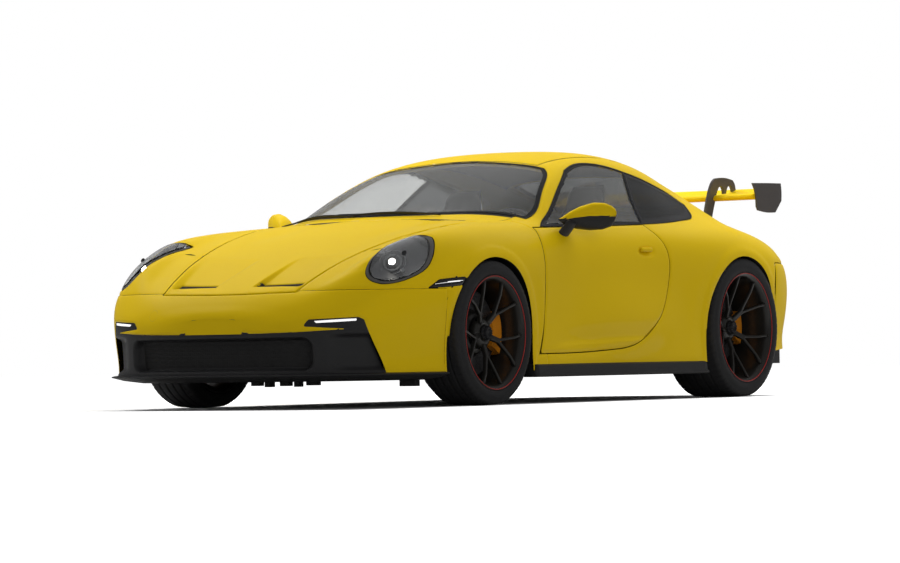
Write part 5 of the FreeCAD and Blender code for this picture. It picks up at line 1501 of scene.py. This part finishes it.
WHEELS = (("front", AXLE, 0.795, 0.343, 0.255, 0.254, 0.062, 0.204, -0.05),
          ("rear", REAR_AXLE, 0.768, 0.361, 0.315, 0.267, 0.096, 0.190, -0.165))
for end, x, y, radius, width, seat, hub_depth, disc_radius, phase in WHEELS:
    for side_name, side in (("left", 1), ("right", -1)):
        body = "_".join(("wheel", end, side_name))
        place = "_".join((end, side_name))
        centre = np.array([x, side * y, radius])
        tyre("tyre_skin_" + place, "tyre_" + place, centre, side, radius, width, seat, body)
        face = rim_set(end, side_name, side, centre, width, seat, hub_depth, phase, body)
        disc_y = y + face - 0.042 - 0.034 - 0.017
        brake_set(end, side_name, side, centre, disc_radius, disc_y, body)
print("wheels done")

# %% [markdown]
# ## Rear wing, mirrors and sills
# The blade is a thin section swept across the car. Each stay is a flat hooked plate, and the end plates
# are flat too, so both are outlines with a thickness and a small rounded edge. The mirror is one shell
# whose sections run from its stalk to its tip, painted above a line and black below it.

# %% Plates
def plate(runs, y0, y1, bevel=0.0015):
    """A flat plate between two planes: an outline in the side view with softened edges."""
    line = np.concatenate([smooth_run(run) for run in runs]) / 1000.0 + (AXLE, 0)
    made = bpy.data.curves.new("plate_outline", "CURVE")
    made.dimensions = "2D"
    made.fill_mode = "BOTH"
    spline = made.splines.new("POLY")
    spline.points.add(len(line) - 1)
    spline.points.foreach_set("co", np.column_stack([line, 0 * line[:, 0], 0 * line[:, 0] + 1]).ravel())
    spline.use_cyclic_u = True
    made.extrude = (y1 - y0) / 2 - bevel
    made.bevel_depth = bevel
    made.bevel_resolution = 2
    made.offset = -bevel
    holder = bpy.data.objects.new("plate_outline", made)
    scene.collection.objects.link(holder)
    bpy.context.view_layer.update()
    solid = bpy.data.meshes.new_from_object(holder.evaluated_get(bpy.context.evaluated_depsgraph_get()))
    count = len(solid.vertices)
    flat = np.empty(count * 3)
    solid.vertices.foreach_get("co", flat)
    flat = flat.reshape(-1, 3)
    solid.calc_loop_triangles()
    tri = np.empty(len(solid.loop_triangles) * 3, np.int64)
    solid.loop_triangles.foreach_get("vertices", tri)
    bpy.data.objects.remove(holder)
    points = np.stack([flat[:, 0], flat[:, 2] + (y0 + y1) / 2, flat[:, 1]], 1)
    keys, where = np.unique(np.round(points, 6), axis=0, return_inverse=True)
    return facing_out(keys, where.ravel()[tri.reshape(-1, 3)])


# %% Rear wing
WING_HALF = 0.660
BLADE = [(-3330, 1114), (-3190, 1079), (-3085, 1076), (-3044, 1066), (-3040, 1056), (-3048, 1048),
         (-3095, 1047), (-3195, 1056), (-3330, 1108)]
blade_line = smooth_run(BLADE, 60) / 1000.0
blade_line = np.concatenate([blade_line, [[-3.330, 1.108]]]) + (AXLE, 0)
across = np.linspace(-WING_HALF, WING_HALF, 61)
sag = 0.004 * (1 - (across / WING_HALF) ** 2)
rings = [np.stack([blade_line[:, 0], 0 * blade_line[:, 0] + y, blade_line[:, 1] - s], 1)
         for y, s in zip(across, sag)]
piece("wing_blade_skin", *swept(rings), paint, "rear_lid", replaces="wing_blade", slot="paint")
plate_runs = [[(-3012, 1130), (-3180, 1134), (-3333, 1136)], [(-3333, 1136), (-3340, 1100), (-3338, 1042)],
              [(-3338, 1042), (-3268, 978)], [(-3268, 978), (-3180, 976), (-3070, 986)],
              [(-3070, 986), (-3056, 1004)], [(-3056, 1004), (-3040, 1090), (-3012, 1130)]]
ends = plate(plate_runs, WING_HALF, WING_HALF + 0.008)
stay_runs = [[(-2936, 905), (-2962, 1000), (-3000, 1090), (-3040, 1146), (-3070, 1164)],
             [(-3070, 1164), (-3180, 1170), (-3262, 1160)], [(-3262, 1160), (-3284, 1140), (-3296, 1106)],
             [(-3296, 1106), (-3258, 1096)],
             [(-3258, 1096), (-3246, 1122), (-3218, 1128), (-3196, 1108), (-3188, 1086)],
             [(-3188, 1086), (-3160, 1082)],
             [(-3160, 1082), (-3148, 1116), (-3118, 1122), (-3096, 1104), (-3064, 1040), (-3030, 960),
              (-3016, 905)], [(-3016, 905), (-2936, 905)]]
stays = plate(stay_runs, 0.399, 0.413)
wings_made = join([ends, mirror_mesh(*ends), stays, mirror_mesh(*stays)])
piece("wing_carriers", *wings_made, wing_grey, "rear_lid", smooth=False, replaces="wing_supports",
      slot="grey_trim")
print("wing", len(wings_made[1]), "faces")

# %% Mirrors
def mirror_shell():
    """Sections along Y from the inner end to the tip: a rounded nose ahead and a flat glass behind."""
    s = np.linspace(0, 1, 44)
    y = 0.815 + (1.030 - 0.815) * s
    top = np.interp(s, [0, 0.06, 0.16, 0.32, 0.55, 0.75, 0.90, 0.97, 1.0],
                    [0.898, 0.915, 0.936, 0.957, 0.973, 0.970, 0.955, 0.940, 0.925])
    low = np.interp(s, [0, 0.06, 0.2, 0.45, 0.7, 0.88, 0.96, 1.0],
                    [0.884, 0.858, 0.845, 0.838, 0.841, 0.855, 0.880, 0.910])
    fore = np.interp(s, [0, 0.2, 0.5, 0.8, 0.95, 1.0], [-752, -778, -830, -890, -925, -948]) / 1000 + AXLE
    aft = np.interp(s, [0, 1.0], [-872, -954]) / 1000 + AXLE
    a = np.arange(56) * 2 * pi / 56
    cos_a, sin_a = np.cos(a), np.sin(a)
    squared = np.sign(sin_a) * abs(sin_a) ** 0.8
    lobe = np.where(cos_a > 0, abs(cos_a) ** 0.75, -abs(cos_a) ** 0.35)
    mid_x = aft + 0.012
    x = np.where(lobe[None, :] > 0, mid_x[:, None] + lobe * (fore - mid_x)[:, None],
                 mid_x[:, None] + lobe * (mid_x - aft)[:, None])
    z = 0.5 * (top + low)[:, None] + 0.5 * (top - low)[:, None] * squared
    return np.stack([x, y[:, None] + 0 * x, z], -1)


shell = mirror_shell()
points, quads = swept(shell)
face_y = points[quads][:, :, 1].mean(1)
upper = points[quads][:, :, 2].mean(1) > 0.894 + 0.055 * (face_y - 0.815)
glass_edge = np.interp(face_y, [0.815, 1.03], [AXLE - 0.866, AXLE - 0.948])
glass_side = points[quads][:, :, 0].max(1) < glass_edge
stalk_rings = []
for t in np.linspace(0, 1, 12):
    c = np.array([AXLE - 0.785 - 0.012 * t, 0.792 + 0.078 * t ** 0.9, 0.792 + 0.090 * t])
    a = np.arange(24) * 2 * pi / 24
    rx, ry = 0.044 - 0.008 * t, 0.020 - 0.002 * t
    stalk_rings.append(np.stack([c[0] + rx * np.cos(a), c[1] + ry * np.sin(a),
                                 c[2] - 0.55 * ry * np.sin(a)], 1))
stalk = swept(stalk_rings)
mirror_glass = finish("mirror_glass", (0.75, 0.77, 0.78), 0.03, 1.0, grain=8.0, stain=0.02)
for side_name, sign in (("left", 1), ("right", -1)):
    p, q = (points, quads) if sign > 0 else mirror_mesh(points, quads)
    holder = piece("mirror_shell_" + side_name, p, q, [paint, black_plastic, mirror_glass],
                   "door_" + side_name, replaces="mirror_" + side_name, slot="paint")
    number = np.where(glass_side, 2, np.where(upper, 0, 1)).astype(np.int32)
    holder.data.polygons.foreach_set("material_index", number)
    p, q = stalk if sign > 0 else mirror_mesh(*stalk)
    piece("mirror_stalk_" + side_name, p, q, black_plastic, "door_" + side_name, slot="black_trim")

# %% Door handles
def handle_bar():
    """A slim grip that stands off the dish: rings along X with a rounded section."""
    x0, x1, z = HANDLE[0] - 0.045, HANDLE[0] + 0.062, HANDLE[1] + 0.010
    rings = []
    for t in np.linspace(0, 1, 24):
        x = x0 + (x1 - x0) * t
        k = (1 - abs(2 * t - 1) ** 3) ** 0.5
        a = np.arange(20) * 2 * pi / 20
        depth = 0.0035 + 0.0045 * k
        y = float(np.interp(x, door_y[0], door_y[1]))
        height = 0.008 + 0.004 * k
        rings.append(np.stack([x + 0 * a, y - 0.001 + depth * np.cos(a), z + height * np.sin(a)], 1))
    return swept(rings)


u_line = np.linspace(station(-1420), station(-1620), 40)
v_line = np.linspace(V_MID, V_END, 200)
wall = skin(u_line[:, None], v_line[None, :])
door_y = np.array([[row[0, 0], np.interp(HANDLE[1], row[::-1, 2], row[::-1, 1])] for row in wall]).T[:, ::-1]
pair("door_handle", handle_bar(), paint, DOORS, slot="paint")

# %% Sill blades
blade_edge = [(-400, 896), (-1200, 912), (-2060, 922)]
edge = smooth_run(blade_edge, 60) / 1000 + (AXLE, 0)
sill_rings = []
for k, (x, y) in enumerate(edge):
    t = k / (len(edge) - 1)
    fin = 0.006 * ease((t - 0.90) / 0.05)
    prof = [(y - 0.075, 0.196), (y - 0.012, 0.190), (y - 0.004, 0.182), (y, 0.150), (y + 0.003 + fin, 0.142),
            (y + 0.003 + fin, 0.132), (y - 0.004, 0.129), (y - 0.075, 0.129)]
    sill_rings.append([(x, py, pz) for py, pz in prof])
pair("sill_blade", swept(sill_rings), black_plastic, BODY, slot="black_trim")
for holder in [o for o in bpy.data.objects if o.name.startswith("sill_blade_")]:
    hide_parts("sill_blades")

# %% [markdown]
# ## Seats
# Each seat is a hard shell with soft pads on it. A pad starts as a rounded block of evenly spaced points,
# swollen most in its middle, and a cloth simulation with pressure then rounds it as stuffing does. How far
# a point may move is capped, so the pad stays inside its shell's room. Shells are thin curved sheets.

# %% Soft pads
SEAT_SIDE = 0.37
ROUNDING = 3.2
PAD_GRID = 26


def pillow(middle, along, across, out, size, crown):
    """Closed pad: a cube's points moved to |x/a|^n + |y/b|^n + |z/c|^n = 1.

    The outer face is raised by crown in its middle. The three directions turn the pad to its place.
    """
    t = np.linspace(-1, 1, PAD_GRID)
    a, b = np.meshgrid(t, t, indexing="ij")
    one = np.ones_like(a)
    sheets = []
    for axis in range(3):
        for sign in (-1, 1):
            sheet = np.stack(np.roll(np.array([sign * one, a, b if sign > 0 else -b]), axis, axis=0), -1)
            sheets.append(sheet.reshape(-1, 3))
    cube = np.concatenate(sheets)
    q = cube / ((np.abs(cube) ** ROUNDING).sum(1) ** (1 / ROUNDING))[:, None]
    raised = crown * np.clip(q[:, 2], 0, 1) * (1 - 0.6 * (q[:, 0] ** 2 + q[:, 1] ** 2))
    local = q * np.array(size) + np.array([0, 0, 1]) * raised[:, None]
    points = np.asarray(middle) + local @ np.stack([along, across, out])
    faces = np.concatenate([grid_faces(PAD_GRID, PAD_GRID) + k * PAD_GRID ** 2 for k in range(6)])
    keys, where = np.unique(np.round(points, 6), axis=0, return_inverse=True)
    faces = where.ravel()[faces]
    first, second, third = (keys[faces[:, k]] - keys.mean(0) for k in range(3))
    inward = (first * np.cross(second, third)).sum(1) < 0
    faces[inward] = faces[inward][:, ::-1]
    return keys, faces


def inflated(holder, voxel, pressure, cap):
    """Swell a pad with cloth pressure for 20 frames, no point moving more than cap."""
    bpy.context.view_layer.objects.active = holder
    for other in bpy.context.selected_objects:
        other.select_set(False)
    holder.select_set(True)
    remesh = holder.modifiers.new("even", "REMESH")
    remesh.mode = "VOXEL"
    remesh.voxel_size = voxel
    remesh.use_smooth_shade = True
    bpy.ops.object.modifier_apply(modifier="even")
    mesh = holder.data
    start = np.empty(len(mesh.vertices) * 3)
    mesh.vertices.foreach_get("co", start)
    start = start.reshape(-1, 3)
    swell = holder.modifiers.new("stuffing", "CLOTH")
    swell.settings.use_pressure = True
    swell.settings.uniform_pressure_force = pressure
    swell.settings.effector_weights.gravity = 0.0
    swell.settings.quality = 5
    swell.settings.tension_stiffness = 25
    for frame_number in range(1, 21):
        scene.frame_set(frame_number)
    shape = holder.evaluated_get(bpy.context.evaluated_depsgraph_get()).to_mesh()
    moved = np.empty(len(shape.vertices) * 3)
    shape.vertices.foreach_get("co", moved)
    moved = moved.reshape(-1, 3)
    holder.modifiers.remove(swell)
    scene.frame_set(1)
    step = moved - start
    length = np.linalg.norm(step, axis=1, keepdims=True)
    step *= np.minimum(1.0, cap / np.maximum(length, 1e-9))
    mesh.vertices.foreach_set("co", (start + step).ravel().astype(np.float32))
    mesh.update()
    return holder


def lean(angle):
    """Unit vectors along a seat back that leans rearwards by angle, across it, and out of its front."""
    s, c = np.sin(angle), np.cos(angle)
    return np.array([-s, 0, c]), np.array([0, 1.0, 0]), np.array([c, 0, s])


BACK = lean(0.26)
THIGH = (np.array([1.0, 0, 0.045]), np.array([0, 1.0, 0]), np.array([-0.045, 0, 1.0]))
# Each pad: name, x, offset from the seat's middle, z, directions, half sizes, crown, cover
PADS = [("base", -0.150, 0.0, 0.385, THIGH, (0.195, 0.120, 0.030), 0.020, cloth),
        ("bolster_a", -0.155, 0.165, 0.402, THIGH, (0.200, 0.038, 0.048), 0.008, leather),
        ("bolster_b", -0.155, -0.165, 0.402, THIGH, (0.200, 0.038, 0.048), 0.008, leather),
        ("back", -0.447, 0.0, 0.690, BACK, (0.225, 0.115, 0.028), 0.018, cloth),
        ("back_a", -0.437, 0.160, 0.680, BACK, (0.215, 0.036, 0.052), 0.008, leather),
        ("back_b", -0.437, -0.160, 0.680, BACK, (0.215, 0.036, 0.052), 0.008, leather),
        ("head", -0.540, 0.0, 1.010, BACK, (0.075, 0.100, 0.030), 0.014, leather)]
for side, y in (("left", SEAT_SIDE), ("right", -SEAT_SIDE)):
    for word, pad_x, shift, pad_z, directions, size, crown_height, cover in PADS:
        points, faces = pillow((pad_x, y + shift, pad_z), *directions, size, crown_height)
        pad = piece("seat_%s_%s" % (word, side), points, faces, cover, "body", slot="seat_leather")
        inflated(pad, 0.006, 4.0, 0.008)
print(2 * len(PADS), "seat pads")


# %% Seat shells
def shell_sheet(y, samples=56, across=40):
    """A bucket: a profile from the thigh edge over the hip to the headrest, with sides that curl forward.

    A point is the profile's, moved across by half * s and along its normal by curl * |s|^4, s from -1 to 1.
    """
    line = smooth_run([(60, 345), (-60, 332), (-200, 318), (-330, 330), (-402, 400), (-440, 520), (-490, 700),
                       (-545, 900), (-580, 1040), (-600, 1108)], samples) / 1000.0
    t = np.linspace(0, 1, samples)
    half = np.interp(t, (0, 0.25, 0.42, 0.55, 0.72, 0.84, 0.92, 1.0),
                     (0.215, 0.23, 0.225, 0.225, 0.22, 0.155, 0.125, 0.100))
    curl = np.interp(t, (0, 0.2, 0.45, 0.65, 0.8, 0.9, 1.0),
                     (0.075, 0.110, 0.125, 0.105, 0.060, 0.030, 0.018))
    tangent_x, tangent_z = np.gradient(line[:, 0]), np.gradient(line[:, 1])
    length = np.hypot(tangent_x, tangent_z)
    s = np.linspace(-1, 1, across)
    rise = curl[:, None] * np.abs(s) ** 4
    normal_x, normal_z = tangent_z / length, -tangent_x / length
    x = line[:, :1] + normal_x[:, None] * rise
    z = line[:, 1:] + normal_z[:, None] * rise
    sideways = y + half[:, None] * s[None, :] * (1 - 0.10 * np.abs(s) ** 6)
    return np.stack([x, sideways, z], -1).reshape(-1, 3), grid_faces(samples, across)


for side, y in (("left", SEAT_SIDE), ("right", -SEAT_SIDE)):
    points, faces = shell_sheet(y)
    shell = piece("seat_shell_" + side, points, faces, cabin_plastic, "body", replaces="seats",
                  slot="seat_leather")
    thicken(shell, 0.012)
    t = np.linspace(0, 2 * pi, 13)[:-1]
    blocks = []
    for s in (-0.15, 0.15):
        xs = np.linspace(-0.33, 0.02, 12)
        rings = [np.stack([x + 0 * t, y + s + 0.018 * np.cos(t), 0.285 + 0.048 * np.sin(t)], 1) for x in xs]
        blocks.append(swept(rings))
    piece("seat_rails_" + side, *join(blocks), cast, "body", slot="seat_leather")
print("seat shells")

# %% [markdown]
# ## Small parts round the body
# Wipers, the line round the towing eye's flap and the brackets under the nose are small, but the
# photograph shows them. Each is a short tube, strip or block that starts inside the part that carries it.

# %% Small part makers
def block(low, high, name, material, body, slot, edge=0.003):
    """A box between two corners with a small bevel."""
    low, high = np.array(low, float), np.array(high, float)
    unit = np.array([[i, j, k] for i in (0, 1) for j in (0, 1) for k in (0, 1)], float)
    faces = np.array([[0, 1, 3, 2], [4, 6, 7, 5], [0, 4, 5, 1], [2, 3, 7, 6], [0, 2, 6, 4], [1, 5, 7, 3]])
    holder = piece(name, low + unit * (high - low), faces, material, body, smooth=False, slot=slot)
    bevel = holder.modifiers.new("edge", "BEVEL")
    bevel.width, bevel.segments = edge, 2
    return holder


def rod(line, radius, around=12):
    """Round tube along a line of points; each ring stands square to the line there."""
    line = np.asarray(line, float)
    along = np.gradient(line, axis=0)
    along /= np.linalg.norm(along, axis=1, keepdims=True)
    helper = np.where(np.abs(along[:, 2:3]) > 0.9, (1.0, 0, 0), (0, 0, 1.0))
    a = np.cross(along, helper)
    a /= np.linalg.norm(a, axis=1, keepdims=True)
    b = np.cross(along, a)
    t = (np.arange(around) * 2 * pi / around)[None, :, None]
    r = np.broadcast_to(np.asarray(radius, float), (len(line),))[:, None, None]
    return swept(line[:, None] + r * (np.cos(t) * a[:, None] + np.sin(t) * b[:, None]))


def on_skin(x_mm, y, lift=0.0, count=400):
    """The point of the skin at a station and a distance from the centre line, raised by lift."""
    v = np.linspace(V_MID if y >= 0 else 0.0, V_END if y >= 0 else V_MID, count)
    row = skin(station(x_mm), v)
    top = row[row[:, 2] > 0.45]
    k = int(np.argmin(abs(top[:, 1] - y)))
    return top[k] + (0, 0, lift)


# %% Wipers
for word, foot_y, tip_y in (("near", 0.30, -0.26), ("far", -0.20, -0.60)):
    span = np.linspace(0, 1, 26)
    sweep_back = 34 + 40 * max(0.0, abs(tip_y) - 0.4)
    arm = np.array([on_skin(-498 - sweep_back * s, foot_y + (tip_y - foot_y) * s,
                            0.007 + 0.012 * np.sin(pi * s)) for s in span])
    blade = np.array([on_skin(-520 - 36 * s, foot_y - 0.08 + (tip_y - foot_y) * s, 0.008) for s in span])
    piece("wiper_" + word, *join([rod(arm, 0.0045), rod(blade, 0.0040)]), black_plastic, "body",
          slot="black_trim")
print("wipers")

# %% Brackets and towing flap
BRACKETS = [(0.62, -0.02, 0.05, 0.020), (0.62, 0.05, 0.035, 0.026), (0.60, 0.13, 0.05, 0.022),
            (0.60, 0.20, 0.03, 0.026), (0.58, 0.27, 0.06, 0.020), (0.42, 0.70, 0.09, 0.030)]
for k, (x, y, wide, drop) in enumerate(BRACKETS):
    low = (AXLE + x - 0.02, y - wide / 2, 0.129 - drop)
    high = (AXLE + x + 0.02, y + wide / 2, 0.152)
    block(low, high, "nose_bracket_%d" % k, black_plastic, "body", "black_trim")
flap = both_in(circle(FRONT, (-0.364, 0.444), 0.026), outside(circle(FRONT, (-0.364, 0.444), 0.0245)),
               beyond(0, AXLE + 0.85))
# The flap's seam line is a thin ring of the darker inner paint.
points, quads = cut(flap, (0.0, station(820)), (6, V_MID), 0.0012, inset=-0.0002)
piece("tow_flap_line", points, quads, shaded_inner_paint, "body", slot="paint")
print("small parts")
